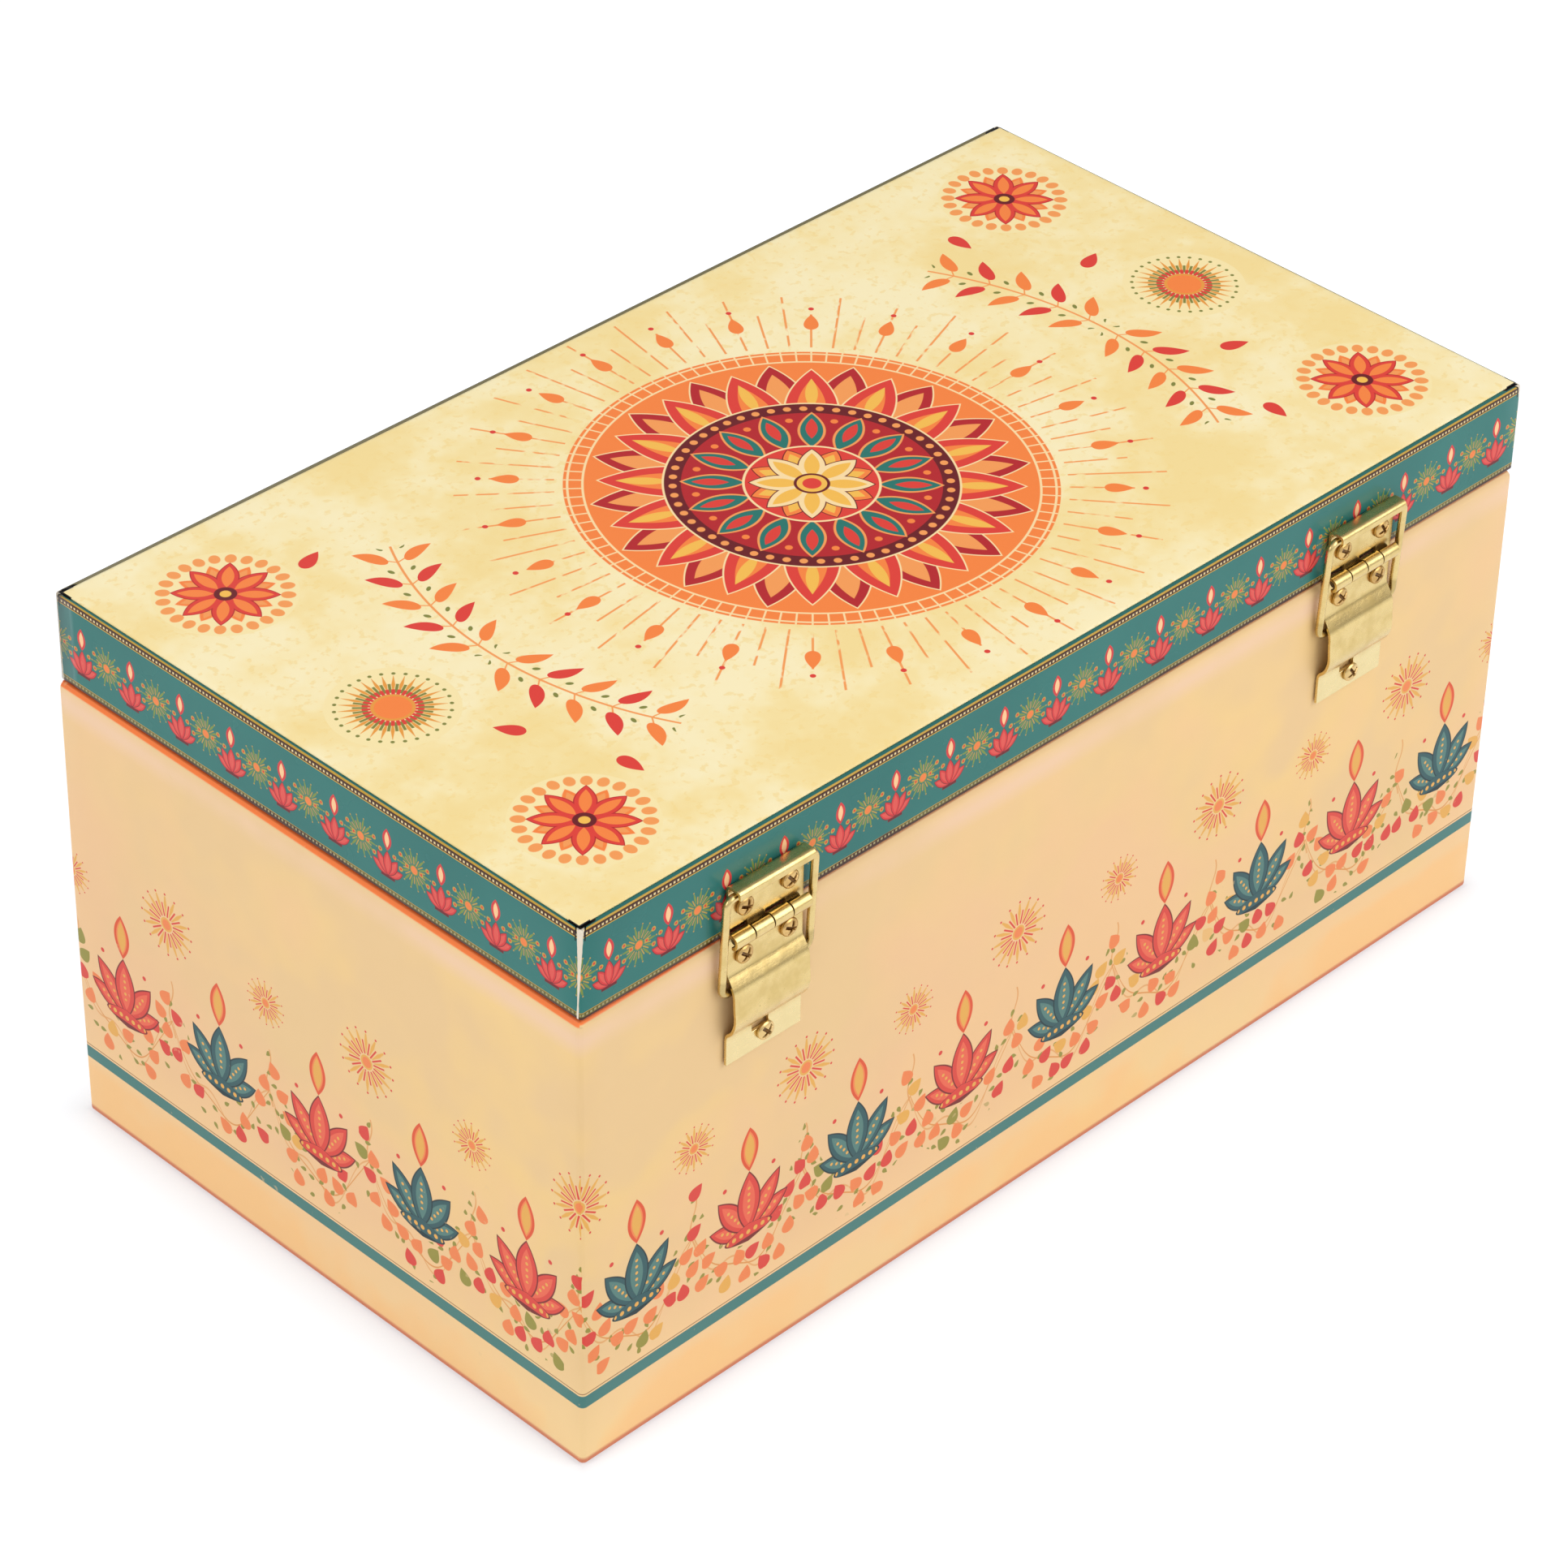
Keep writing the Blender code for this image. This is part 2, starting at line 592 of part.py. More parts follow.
def build_bail(side, hinge_x):
    name = f"bail_{side}"
    half = bail_half_line()
    line = half + [(-x, along) for x, along in reversed(half)]
    foot = Vector((0.0, FOOT_OUT - HOOK_OUT, -FOOT_DOWN - HOOK_UP))
    curve = bpy.data.curves.new(name, "CURVE")
    curve.dimensions = "3D"
    curve.bevel_depth = WIRE_RADIUS
    curve.bevel_resolution = WIRE_BEVEL_RESOLUTION
    curve.use_fill_caps = True
    spline = curve.splines.new("POLY")
    spline.points.add(len(line) - 1)
    for point, (x, along) in zip(spline.points, line):
        place = foot * (1 - along / BAIL_LENGTH)
        point.co = (x, place.y, place.z, 1.0)
    bail = bpy.data.objects.new(name, curve)
    parts.objects.link(bail)
    bail.location = (hinge_x, BACK_FACE + HOOK_OUT, SEAM_HEIGHT + HOOK_UP)
    curve.materials.append(hinge_brass)


# A turned screw: domed head, shank and point, standing up along Z with its seat at zero.
def screw_mesh():
    bm = bmesh.new()
    dome = SCREW_HEAD_HEIGHT - SCREW_HEAD_EDGE
    angles = [math.pi / 2 * (1 - step / DOME_STEPS) for step in range(DOME_STEPS + 1)]
    profile = [(SCREW_HEAD_RADIUS * math.cos(a), SCREW_HEAD_EDGE + dome * math.sin(a)) for a in angles]
    profile[0] = (0.0, SCREW_HEAD_HEIGHT)
    profile += [
        (SCREW_HEAD_RADIUS, 0.0),
        (SCREW_SHANK_RADIUS, 0.0),
        (SCREW_SHANK_RADIUS, SCREW_POINT - SCREW_SHANK_LENGTH),
        (0.0, -SCREW_SHANK_LENGTH),
    ]
    row = [bm.verts.new((x, 0.0, z)) for x, z in profile]
    for pair in zip(row, row[1:]):
        bm.edges.new(pair)
    mesh = bpy.data.meshes.new("screw_profile")
    bm.to_mesh(mesh)
    bm.free()
    turned = add_cutter("screw_template", mesh)
    turn = turned.modifiers.new("turn", "SCREW")
    turn.steps = SCREW_SIDES
    turn.render_steps = SCREW_SIDES
    turn.use_merge_vertices = True
    turn.merge_threshold = 0.00001
    for name, half_x, half_y in (
        ("cross_arm_x", CROSS_LENGTH / 2, CROSS_WIDTH / 2),
        ("cross_arm_y", CROSS_WIDTH / 2, CROSS_LENGTH / 2),
    ):
        arm = box_mesh(
            name,
            (-half_x, -half_y, SCREW_HEAD_HEIGHT - CROSS_DEPTH),
            (half_x, half_y, SCREW_HEAD_HEIGHT + CUT_MARGIN),
        )
        cut(turned, add_cutter(name, arm))
    shared = evaluated_mesh(turned, "screw")
    shared.materials.clear()
    shared.materials.append(hinge_brass)
    shared.shade_smooth()
    shared.set_sharp_from_angle(angle=SMOOTH_ANGLE)
    return shared


def build_screws(places, mesh):
    made = []
    for number, (name, x, up) in enumerate(places):
        screw = bpy.data.objects.new(name, mesh)
        parts.objects.link(screw)
        screw.location = (x, BACK_FACE + LEAF_FACE_OUT + SCREW_SEAT_GAP, SEAM_HEIGHT + up)
        spin = Matrix.Rotation(math.radians(17 + 31 * number), 4, "Z")
        screw.rotation_euler = (Matrix.Rotation(-math.pi / 2, 4, "X") @ spin).to_euler()
        made.append(screw)
    return made


# What swings with the lid hangs from an empty on the barrel's axis.
def hang_on_lid(members):
    axis = bpy.data.objects.new("lid_axis", None)
    axis.location = (0.0, BACK_FACE + AXIS_OUT, SEAM_HEIGHT)
    parts.objects.link(axis)
    bpy.context.view_layer.update()
    for member in members:
        member.parent = axis
        member.matrix_parent_inverse = axis.matrix_world.inverted()


def build_box():
    hinges = {
        "right": CASE_LENGTH / 2 - RIGHT_HINGE_FROM_END,
        "left": LEFT_HINGE_FROM_END - CASE_LENGTH / 2,
    }
    case_places = [p for side, x in hinges.items() for p in screw_places(side, x, False)]
    lid_places = [p for side, x in hinges.items() for p in screw_places(side, x, True)]
    hole_depth = SCREW_SHANK_LENGTH - LEAF_FACE_OUT + SCREW_HOLE_GAP
    case_holes = screw_hole_mesh("case_screw_holes", case_places, -hole_depth, CUT_MARGIN)
    lid_holes = screw_hole_mesh("lid_screw_holes", lid_places, -hole_depth, CUT_MARGIN)
    build_case(add_cutter("case_screw_holes", case_holes))
    build_lid(add_cutter("lid_screw_holes", lid_holes))
    for side, x in hinges.items():
        build_hinge(side, x)
    shared_screw = screw_mesh()
    build_screws(case_places, shared_screw)
    build_screws(lid_places, shared_screw)
    moving = [obj for obj in parts.objects if obj.name.startswith(("lid_", "bail_"))]
    hang_on_lid(moving)


clear_scene()
parts = add_collection("jar_gift_box")
cutters = add_collection("cutters")
board_brown = add_material("board_brown", (0.45, 0.29, 0.15), 0.85)
wrap_peach = add_material("wrap_peach", (0.86, 0.58, 0.32), 0.45)
rim_orange = add_material("rim_orange", (0.83, 0.20, 0.06), 0.5)
lining_orange = add_material("lining_orange", (0.83, 0.22, 0.07), 0.7)
partition_card = add_material("partition_card", (0.84, 0.76, 0.58), 0.8)
band_teal = add_material("band_teal", (0.07, 0.23, 0.21), 0.3)
sheet_cream = add_material("sheet_cream", (0.95, 0.80, 0.46), 0.4)
hinge_brass = add_material("hinge_brass", (0.66, 0.52, 0.22), 0.28, 1.0)
pin_steel = add_material("pin_steel", (0.35, 0.32, 0.26), 0.4, 1.0)
build_box()
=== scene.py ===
import math

import bpy
import numpy as np
from mathutils import Matrix


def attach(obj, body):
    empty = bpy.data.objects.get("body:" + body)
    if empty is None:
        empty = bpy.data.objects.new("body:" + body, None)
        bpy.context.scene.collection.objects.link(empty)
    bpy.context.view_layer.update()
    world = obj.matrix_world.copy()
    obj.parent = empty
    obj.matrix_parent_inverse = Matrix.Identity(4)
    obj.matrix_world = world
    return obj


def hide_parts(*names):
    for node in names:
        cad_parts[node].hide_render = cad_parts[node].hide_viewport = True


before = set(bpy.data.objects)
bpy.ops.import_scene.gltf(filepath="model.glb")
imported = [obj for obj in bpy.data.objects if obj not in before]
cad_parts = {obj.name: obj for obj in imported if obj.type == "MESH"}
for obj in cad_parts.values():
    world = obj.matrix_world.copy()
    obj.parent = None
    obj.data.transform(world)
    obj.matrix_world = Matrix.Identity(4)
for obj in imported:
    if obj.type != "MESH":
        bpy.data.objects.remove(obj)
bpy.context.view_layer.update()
print("frame loaded:", len(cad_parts), "nodes")

mm = 0.001
box = {  # mm
    "length": 306.0, "depth": 171.5, "rim": 124.8, "seam": 125.3, "bandTop": 148.88, "top": 149.4,
    "bandHalf": (152.6, 85.25), "bandCentreY": 0.5, "sheetHalf": (151.6, 83.6), "sheetCentreY": 0.75,
}


# Shader maths

def ink(red, green, blue):  # a printed colour as read off paper, 0 to 255, made linear
    parts = np.array([red, green, blue]) / 255
    linear = np.where(parts <= 0.04045, parts / 12.92, ((parts + 0.055) / 1.055) ** 2.4)
    return (*[float(part) for part in linear], 1.0)


def palette(**colors):
    return {name: ink(*color) for name, color in colors.items()}


class Wire:  # one shader socket: arithmetic on it adds Math nodes
    def __init__(self, tree, socket=None):
        self.tree = tree
        self.socket = socket

    def node(self, kind, settings, inputs, output=0):  # any node: settings first, then its sockets
        made = self.tree.nodes.new(kind)
        for key, value in settings.items():
            if key == "stops":
                fillRamp(made.color_ramp, value)
            else:
                setattr(made, key, value)
        for key, value in inputs.items():
            if isinstance(value, Wire):
                self.tree.links.new(value.socket, made.inputs[key])
            else:
                made.inputs[key].default_value = value
        return Wire(self.tree, made.outputs[output])

    def other(self, output):  # another output of the same node
        return Wire(self.tree, self.socket.node.outputs[output])

    def math(self, operation, *others, clamp=False):
        settings = {"operation": operation, "use_clamp": clamp}
        return self.node("ShaderNodeMath", settings, dict(enumerate((self, *others))))

    def __add__(self, other):
        return self.math("ADD", other)

    __radd__ = __add__

    def __sub__(self, other):
        return self.math("SUBTRACT", other)

    def __rsub__(self, other):
        return self.scaled(-1.0, other)

    def __mul__(self, other):
        return self.math("MULTIPLY", other)

    __rmul__ = __mul__

    def __abs__(self):
        return self.math("ABSOLUTE")

    def scaled(self, gain, offset):
        return self.math("MULTIPLY_ADD", gain, offset)

    def least(self, other):
        return self.math("MINIMUM", other)

    def most(self, other):
        return self.math("MAXIMUM", other)

    def wrap(self, pitch):  # distance from the middle of the cell that it is in
        return self.math("WRAP", pitch / 2, -pitch / 2)

    def cell(self, pitch):  # number of that cell
        return (self * (1 / pitch)).math("ROUND")

    def odd(self):  # 0 for an even number and 1 for an odd one
        return self.math("PINGPONG", 1.0)

    def under(self, edge, soft=0.16):  # 1 below the edge, 0 above it, over a soft width
        if isinstance(edge, Wire):
            return (self - edge).under(0.0, soft)
        return self.math("MULTIPLY_ADD", -1 / soft, edge / soft + 0.5, clamp=True)

    def over(self, edge, soft=0.16):
        return self.math("MULTIPLY_ADD", 1 / soft, 0.5 - edge / soft, clamp=True)

    def within(self, low, high, soft=0.16):
        return abs(self - (low + high) / 2).under((high - low) / 2, soft)

    def paint(self, color, mask):  # this colour with another over it where the mask is 1
        settings = {"data_type": "RGBA", "clamp_factor": False}
        return self.node("ShaderNodeMix", settings, {0: mask, 6: self, 7: color}, 2)

    def toward(self, other, mask):  # the same for a value
        settings = {"data_type": "FLOAT", "clamp_factor": False}
        return self.node("ShaderNodeMix", settings, {0: mask, 2: self, 3: other}, 0)


def fillRamp(ramp, stops):
    while len(ramp.elements) < len(stops):
        ramp.elements.new(0.5)
    for element, (place, color) in zip(ramp.elements, stops):
        element.position = place
        element.color = color


def newMaterial(name, roughness, metallic=0.0, coat=0.0, shine=0.5, glow=0.0):
    material = bpy.data.materials.new(name)
    material.use_nodes = True
    values = {
        "Roughness": roughness, "Metallic": metallic, "Coat Weight": coat, "Coat Roughness": 0.12,
        "Specular IOR Level": shine, "Emission Strength": glow,
    }
    for socket, value in values.items():
        material.node_tree.nodes["Principled BSDF"].inputs[socket].default_value = value
    return material, Wire(material.node_tree)


def feed(material, socket, value):
    tree = material.node_tree
    tree.links.new(value.socket, tree.nodes["Principled BSDF"].inputs[socket])


def flatColor(start, color):  # a colour to paint on
    return start.node("ShaderNodeMix", {"data_type": "RGBA"}, {0: 0.0, 6: color, 7: color}, 2)


def position(start):  # place on the box in mm: the point, and its x, y and z
    coords = start.node("ShaderNodeTexCoord", {}, {}, "Object")
    point = start.node("ShaderNodeVectorMath", {"operation": "SCALE"}, {0: coords, "Scale": 1 / mm})
    x = start.node("ShaderNodeSeparateXYZ", {}, {0: point})
    return point, x, x.other("Y"), x.other("Z")


def noise(point, scale, detail=2.0, rough=0.5):
    inputs = {"Vector": point, "Scale": scale, "Detail": detail, "Roughness": rough}
    return point.node("ShaderNodeTexNoise", {}, inputs)


def surface(material, color, roughness, height, depth=0.1):  # height is in units of depth mm
    bump = {"Strength": 1.0, "Distance": depth * mm, "Height": height}
    feed(material, "Base Color", color)
    feed(material, "Roughness", roughness)
    feed(material, "Normal", height.node("ShaderNodeBump", {}, bump))
    return material


def plane(u, w):
    return u.node("ShaderNodeCombineXYZ", {}, {0: u, 1: w, 2: 0.0})


def away(u, w):  # distance from the middle
    return u.node("ShaderNodeVectorMath", {"operation": "LENGTH"}, {0: plane(u, w)}, "Value")


def polar(u, w):  # that and the angle round it
    return away(u, w), w.math("ARCTAN2", u)


def turned(u, w, angle):  # across and along a direction that leans by angle from upright
    sine, cosine = math.sin(angle), math.cos(angle)
    return u.scaled(cosine, w * -sine), u.scaled(sine, w * cosine)


def petal(across, along, length, width):
    # how far outside a pointed petal: |across| - 4 width s (1 - s), where s = along / length
    gain = 4 * width / length
    return abs(across) - along * along.scaled(-gain / length, gain)


def leafShape(across, along, length, width):
    # the same for a leaf, round at its foot: 2.6 width s^1/2 (1 - s)
    share = along * (1 / length)
    return abs(across) - share.math("SQRT") * (1.0 - share).most(0.0) * (2.6 * width)


def layered(color, look, layers):  # the colour with inks of the look over it in turn, each by its mask
    for names, *masks in layers:
        for name, mask in zip(names.split(), masks):
            color = color.paint(look[name], mask)
    return color


def stepped(value, stops):  # a colour that changes at each stop
    ramp = value.node("ShaderNodeValToRGB", {"stops": stops}, {0: value})
    ramp.socket.node.color_ramp.interpolation = "CONSTANT"
    return ramp


def petals(across, along, length, width, edge=0.3):  # masks of a petal's rim, fill and heart
    outside = petal(across, along, length, width)
    return [outside.under(limit) for limit in (0.0, -edge, -0.48 * width)]


def lotus(u, w, shape, edge, dots=False):  # masks of petals, each (lean, length, width), and of their dots
    masks = []
    for lean, length, width in shape:
        across, along = turned(abs(u), w, lean) if lean else (u, w)
        masks += petals(across, along, length, width, edge)
        if dots:
            row = away(across, along.wrap(1.8)).under(0.42)
            masks.append(row * along.within(0.3 * length, 0.74 * length))
    return masks


def burst(u, w, reach, rays, core, thick=0.056):
    # masks of a sun, in shares of its reach: thin rays, dots between them and at their tips, a ring, a heart
    r, angle = polar(u, w)
    pitch = 2 * math.pi / rays
    across = abs(angle.wrap(pitch)) * r
    between = abs((angle + pitch / 2).wrap(pitch)) * r
    taper = abs(r - 0.66 * reach).scaled(-0.12, thick * reach)
    return [
        (across - taper).under(0.0) * r.within((core + 0.14) * reach, 0.92 * reach),
        between.under(0.026 * reach) * r.within((core + 0.1) * reach, 0.68 * reach),
        away(across, r - 0.98 * reach).under(0.036 * reach),
        r.under((core + 0.06) * reach),
        r.under(core * reach),
    ]


def strewn(u, w, pitch, jitter, length, width, sway):
    # one leaf to a cell of a staggered grid, its place and lean drawn by lot: how far outside it the point
    # is, a number for whether it shows, its cell's middle and a number for its colour
    row = w.cell(pitch)
    column = u.scaled(1 / pitch, row * 0.5)
    number = column.math("ROUND")
    cell = {"Vector": plane(number, row)}
    lots = u.node("ShaderNodeTexWhiteNoise", {"noise_dimensions": "2D"}, cell, "Color")
    red = u.node("ShaderNodeSeparateColor", {}, {0: lots})
    green, blue = red.other("Green"), red.other("Blue")
    a = column - number - red.scaled(jitter, -jitter / 2)
    b = w.scaled(1 / pitch, -1.0 * row) - green.scaled(jitter, -jitter / 2)
    leaning = {"Vector": plane(a * pitch, b * pitch), "Angle": blue.scaled(sway, -sway / 2)}
    place = u.node("ShaderNodeVectorRotate", {"rotation_type": "Z_AXIS"}, leaning)
    across = u.node("ShaderNodeSeparateXYZ", {}, {0: place})
    outside = leafShape(across, across.other("Y") + length / 2, length, width)
    middle = (number - row * 0.5) * pitch, row * pitch
    return outside, (red * 7.3).math("FRACT"), middle, (green * 5.7).math("FRACT")


# Papers

def roundBox(x, y, halfLength, halfDepth):
    # distance round the box from the middle of its back: x there, on along the ends, then the front
    onEnd = (abs(x) - abs(y)).over(halfLength - halfDepth, 0.01)
    ends = x.math("SIGN") * (halfLength + halfDepth - y)
    front = 2 * (halfLength + halfDepth) - x
    return x.toward(front, y.under(0.0, 0.01)).toward(ends, onEnd)


def bodyPaper():
    look = {
        **palette(
            paper=(234, 199, 146), warm=(242, 206, 142), straw=(247, 208, 126), blush=(238, 192, 152),
            pale=(241, 204, 172), low=(255, 222, 162), peach=(250, 196, 128), rim=(252, 130, 64),
            rimShade=(176, 72, 18), worn=(176, 140, 108), foot=(204, 104, 76), stripe=(70, 124, 120),
            stripeLine=(150, 104, 70), vine=(222, 150, 80), red=(218, 70, 60), orange=(238, 134, 80),
            gold=(230, 172, 84), olive=(150, 142, 62), maroon=(118, 36, 34), coral=(232, 104, 78),
            flame=(222, 86, 52), teal=(48, 88, 92), tealDark=(26, 50, 56), tealPale=(84, 126, 120),
        ),
        "flowers": 28,  # round the whole box
        "skew": 3.6,  # mm by which the print climbs along the back
        "stripeAt": (16.9, 20.3),
        "garland": {"dip": 28.5, "rise": 18.0, "thick": 5.8, "thicken": 6.6},
        "leaf": {"pitch": 5.3, "jitter": 0.3, "length": 4.8, "width": 2.0, "sway": 2.2},
        "seed": {"pitch": 3.1, "jitter": 0.5, "length": 2.2, "width": 0.7, "sway": 6.0},
        "burst": (8.8, 16, 0.16),
        "flowerFoot": 36.0,
        "petals": ((1.12, 13.5, 2.6), (0.62, 16.5, 3.0), (0.0, 17.5, 3.6)),
    }
    material, start = newMaterial("printedBodyPaper", 0.44, shine=0.25)
    point, x, y, z = position(start)
    halfLength, halfDepth = box["length"] / 2, box["depth"] / 2
    run = roundBox(x, y, halfLength, halfDepth)
    pitch = 4 * (halfLength + halfDepth) / look["flowers"]
    cloud = noise(point, 0.018, 3.0, 0.6)
    patch = noise(point, 0.009, 3.0, 0.7)
    speck = noise(point, 0.35, 2.0)
    # across a flower and across the gap beside it, the height in the print and that over the flower's foot
    u, gap = run.wrap(pitch), (run - pitch / 2).wrap(pitch)
    v = z - x.scaled(-1 / box["length"], 0.5) * y.scaled(look["skew"] / box["depth"], look["skew"] / 2)
    w = v - look["flowerFoot"]
    hung = look["garland"]

    # leafy garland, hung from between the flowers and dipping under each of them
    def garland(place, height):  # height over its middle, and 1 where that is within its thickness
        spread = place.wrap(pitch) * (2 / pitch)
        bow = spread * spread
        over = height - bow.scaled(hung["rise"], hung["dip"])
        return over, abs(over).math("LESS_THAN", bow.scaled(hung["thicken"], hung["thick"]))

    above, inside = garland(run, v)
    ripple = (run * (4 * math.pi / pitch)).math("SINE")
    sway = (v * 0.42).math("SINE")
    seeds, seedChance = strewn(run, v + 1.6, **look["seed"])[:2]
    leaf, chance, middle, tint = strewn(run, v, **look["leaf"])
    tints = [look[name] for name in ("orange", "red", "gold", "orange", "olive")]
    look["leafTint"] = stepped(tint, list(zip((0.0, 0.36, 0.66, 0.76, 0.92), tints)))
    # bursts large and small in turn, and flowers teal and red
    small = (run - pitch / 2).cell(pitch).odd()
    grow = small.scaled(0.42, 1.0)
    up = (v - small.scaled(-3.0, 74.5)) * grow
    odd = run.cell(pitch).odd()
    blooms = {"edge": ("tealDark", "maroon"), "fill": ("teal", "red"), "heart": ("tealPale", "coral")}
    for name, (teal, red) in blooms.items():
        look[name] = flatColor(start, look[teal]).paint(look[red], odd)
    foot = w + 1.2
    cup = abs(u) - foot * foot.scaled(-0.9, 4.6) * 1.25
    low, high = look["stripeAt"]
    # how far out from the sides and corners, and how the rim's orange thins out along the back
    inset = (abs(x) - halfLength).most(abs(y) - halfDepth)
    corner = abs(x) + abs(y) - (halfLength + halfDepth)
    onBack = (y - abs(x)).over(halfDepth - halfLength, 0.01)
    thin = x.scaled(-0.01, 2.0).most(0.0).least(1.6) * onBack
    color = layered(flatColor(start, look["paper"]), look, [
        ("warm", cloud.over(0.5, 0.2)),
        ("blush", patch.over(0.51, 0.14) * 0.6),
        ("straw", patch.under(0.47, 0.1) * cloud.over(0.47, 0.1) * z.under(70.0, 90.0) * 0.6),
        # pale: a painted highlight along the paper just under the rim
        ("pale", abs(z - 119.6).under(2.6, 4.0) * cloud.over(0.4, 0.2) * 0.8),
        # low: painted bounce light from the floor, paler towards the bottom
        ("low", z.under(16.0, 30.0) * 0.6),
        ("peach", z.under(15.0, 3.0) * (cloud + z * -0.008).over(0.43, 0.12) * 0.55),
        ("vine", abs(above - ripple * 1.2).under(0.22)),
        ("vine", abs(ripple.scaled(1.9, above * -0.55)).under(0.14) * abs(above).under(5.0) * 0.7),
        ("vine", abs(gap - sway * 0.9).under(0.2) * v.within(42.0, 58.5) * 0.8),
        ("olive", seeds.under(-0.1) * inside * seedChance.over(0.62, 0.02)),
        ("leafTint", leaf.under(-0.1) * garland(*middle)[1] * chance.over(0.14, 0.02)),
        ("gold red red gold orange", *burst(gap * grow, up, *look["burst"])),
        ("edge fill heart gold " * 3, *lotus(u, w - 1.5, look["petals"], 0.4, dots=True)),
        ("edge fill", cup.under(0.0), cup.under(-0.5) * w.over(0.2)),
        ("gold", away(u.wrap(2.2), w - 1.5).under(0.62) * cup.under(-0.6)),
        ("flame orange gold", *petals(u, w - 19.0, 12.5, 2.7, 0.85)),
        ("red", away(abs(u) - 7.5, w - 17.5).under(0.62)),
        ("stripeLine", v.within(high + 0.5, high + 0.75)),
        ("stripe", v.within(low, high)),
        ("foot", z.under(1.95, 0.9) * 0.85),
        ("rim", (z - thin).over(123.4, 0.3).most(inset.under(-2.1, 0.3))),
        ("rimShade", z.over(124.45, 0.5) * inset.over(-2.1)),
        # worn at the top of the upright corners
        ("worn", corner.over(-1.5, 0.5) * z.over(123.3, 0.4) * speck.over(0.42, 0.1) * 0.8),
        ("paper", speck.over(0.74, 0.05) * 0.35),
    ])
    relief = noise(point, 0.02, 1.0) * 6.0 + noise(point, 1.4, 3.0) * 0.05
    return surface(material, color, noise(point, 0.08, 3.0).scaled(0.16, 0.35), relief)


def bandPaper():
    look = {
        **palette(
            ground=(52, 120, 114), deep=(44, 108, 104), red=(214, 60, 62), rose=(224, 88, 80),
            maroon=(108, 34, 40), orange=(240, 132, 70), flame=(250, 202, 150), leafGold=(126, 144, 68),
            gold=(198, 158, 66), olive=(104, 96, 44), brown=(74, 46, 36), bead=(236, 214, 160),
            raw=(232, 220, 200), black=(24, 24, 26), dim=(168, 158, 112), worn=(120, 112, 80),
            shade=(64, 32, 16), lining=(252, 130, 64),
        ),
        "stars": 56,  # round the whole lid
        "star": (5.2, 14, 0.2),
        "petals": ((1.05, 5.6, 1.15), (0.55, 6.2, 1.25), (0.0, 6.6, 1.4)),
        "height": 23.6,
        "open": (2.1, 21.45),  # between the edge lines
    }
    material, start = newMaterial("printedBandPaper", 0.24, coat=0.1, shine=0.12)
    point, x, yBox, z = position(start)
    y = yBox - box["bandCentreY"]
    halfLength, halfDepth = box["bandHalf"]
    run = roundBox(x, y, halfLength, halfDepth)
    v = z - box["seam"]
    pitch = 4 * (halfLength + halfDepth) / look["stars"]
    cloud = noise(point, 0.03, 2.0)
    # across a small lotus, height over its foot and over the middle of the stars between
    u, w, up = (run - pitch / 2).wrap(pitch), v - 5.4, v - 11.4
    # four dots round each place between them
    ring, angle = polar(abs(u) - pitch / 4, up)
    dot = away(angle.wrap(math.pi / 2) * ring, ring - 2.0)
    # edge lines, from the bottom up; the last are on the turn-over beside the top sheet
    (low, high), height = look["open"], look["height"]
    lines = [
        (0.0, "brown"), (0.85, "olive"), (1.9, "gold"), (low, "ground"), (high, "gold"), (21.7, "brown"),
        (23.15, "gold"),
    ]
    look["edges"] = stepped(v * (1 / height), [(place / height, look[name]) for place, name in lines])
    beads = abs(run.wrap(pitch / 15)).most(abs(v - 22.35).least(abs(v - 1.4)))
    look["beads"] = flatColor(start, look["bead"]).paint(look["dim"], v.under(12.0))
    # raw paper where the band is folded at the upright corners, black nicks there, and the lining inside
    outX, outY = abs(x) - halfLength, abs(y) - halfDepth
    inset = outX.most(outY)
    aside = abs(outX - outY - v.scaled(-0.045, 1.0))
    frayed = aside - noise(point, 0.5, 1.0) * 0.3 - v * v * 0.0014
    color = layered(flatColor(start, look["ground"]), look, [
        ("deep", cloud.over(0.5, 0.4) * 0.6),
        ("maroon red rose " * 3, *lotus(u, w, look["petals"], 0.16)),
        ("red red flame", *petals(u, w - 6.6, 5.8, 1.4, 0.16)),
        ("maroon", abs(u).under(2.2) * abs(w + 0.3).under(0.35)),
        ("leafGold gold gold leafGold orange", *burst(run.wrap(pitch), up, *look["star"])),
        ("gold red", dot.under(0.62), dot.under(0.32)),
        ("edges", abs(v - (low + high) / 2).over((high - low) / 2, 0.02)),
        ("shade", v.under(cloud.scaled(7.0, -2.6), 0.3)),
        ("beads", beads.under(0.27)),
        ("deep", inset.under(-0.45, 0.1) * v.over(22.0)),
        # greyer olive along the top of the front edge
        ("worn", y.under(2.5 - halfDepth) * v.over(23.3)),
        ("black", aside.within(1.2, 1.6, 0.1) * v.over(20.6)),
        ("raw", frayed.under(0.1, 0.12) * inset.over(-0.9)),
        ("black", aside.under(4.2) * inset.under(-0.75, 0.1) * v.over(22.6)),
        ("lining", inset.under(-1.0, 0.3) * v.under(22.0)),
    ])
    relief = noise(point, 0.035, 2.0) * 3.4 + noise(point, 1.2, 2.0) * 0.05
    return surface(material, color, noise(point, 0.1, 2.0).scaled(0.18, 0.16), relief)


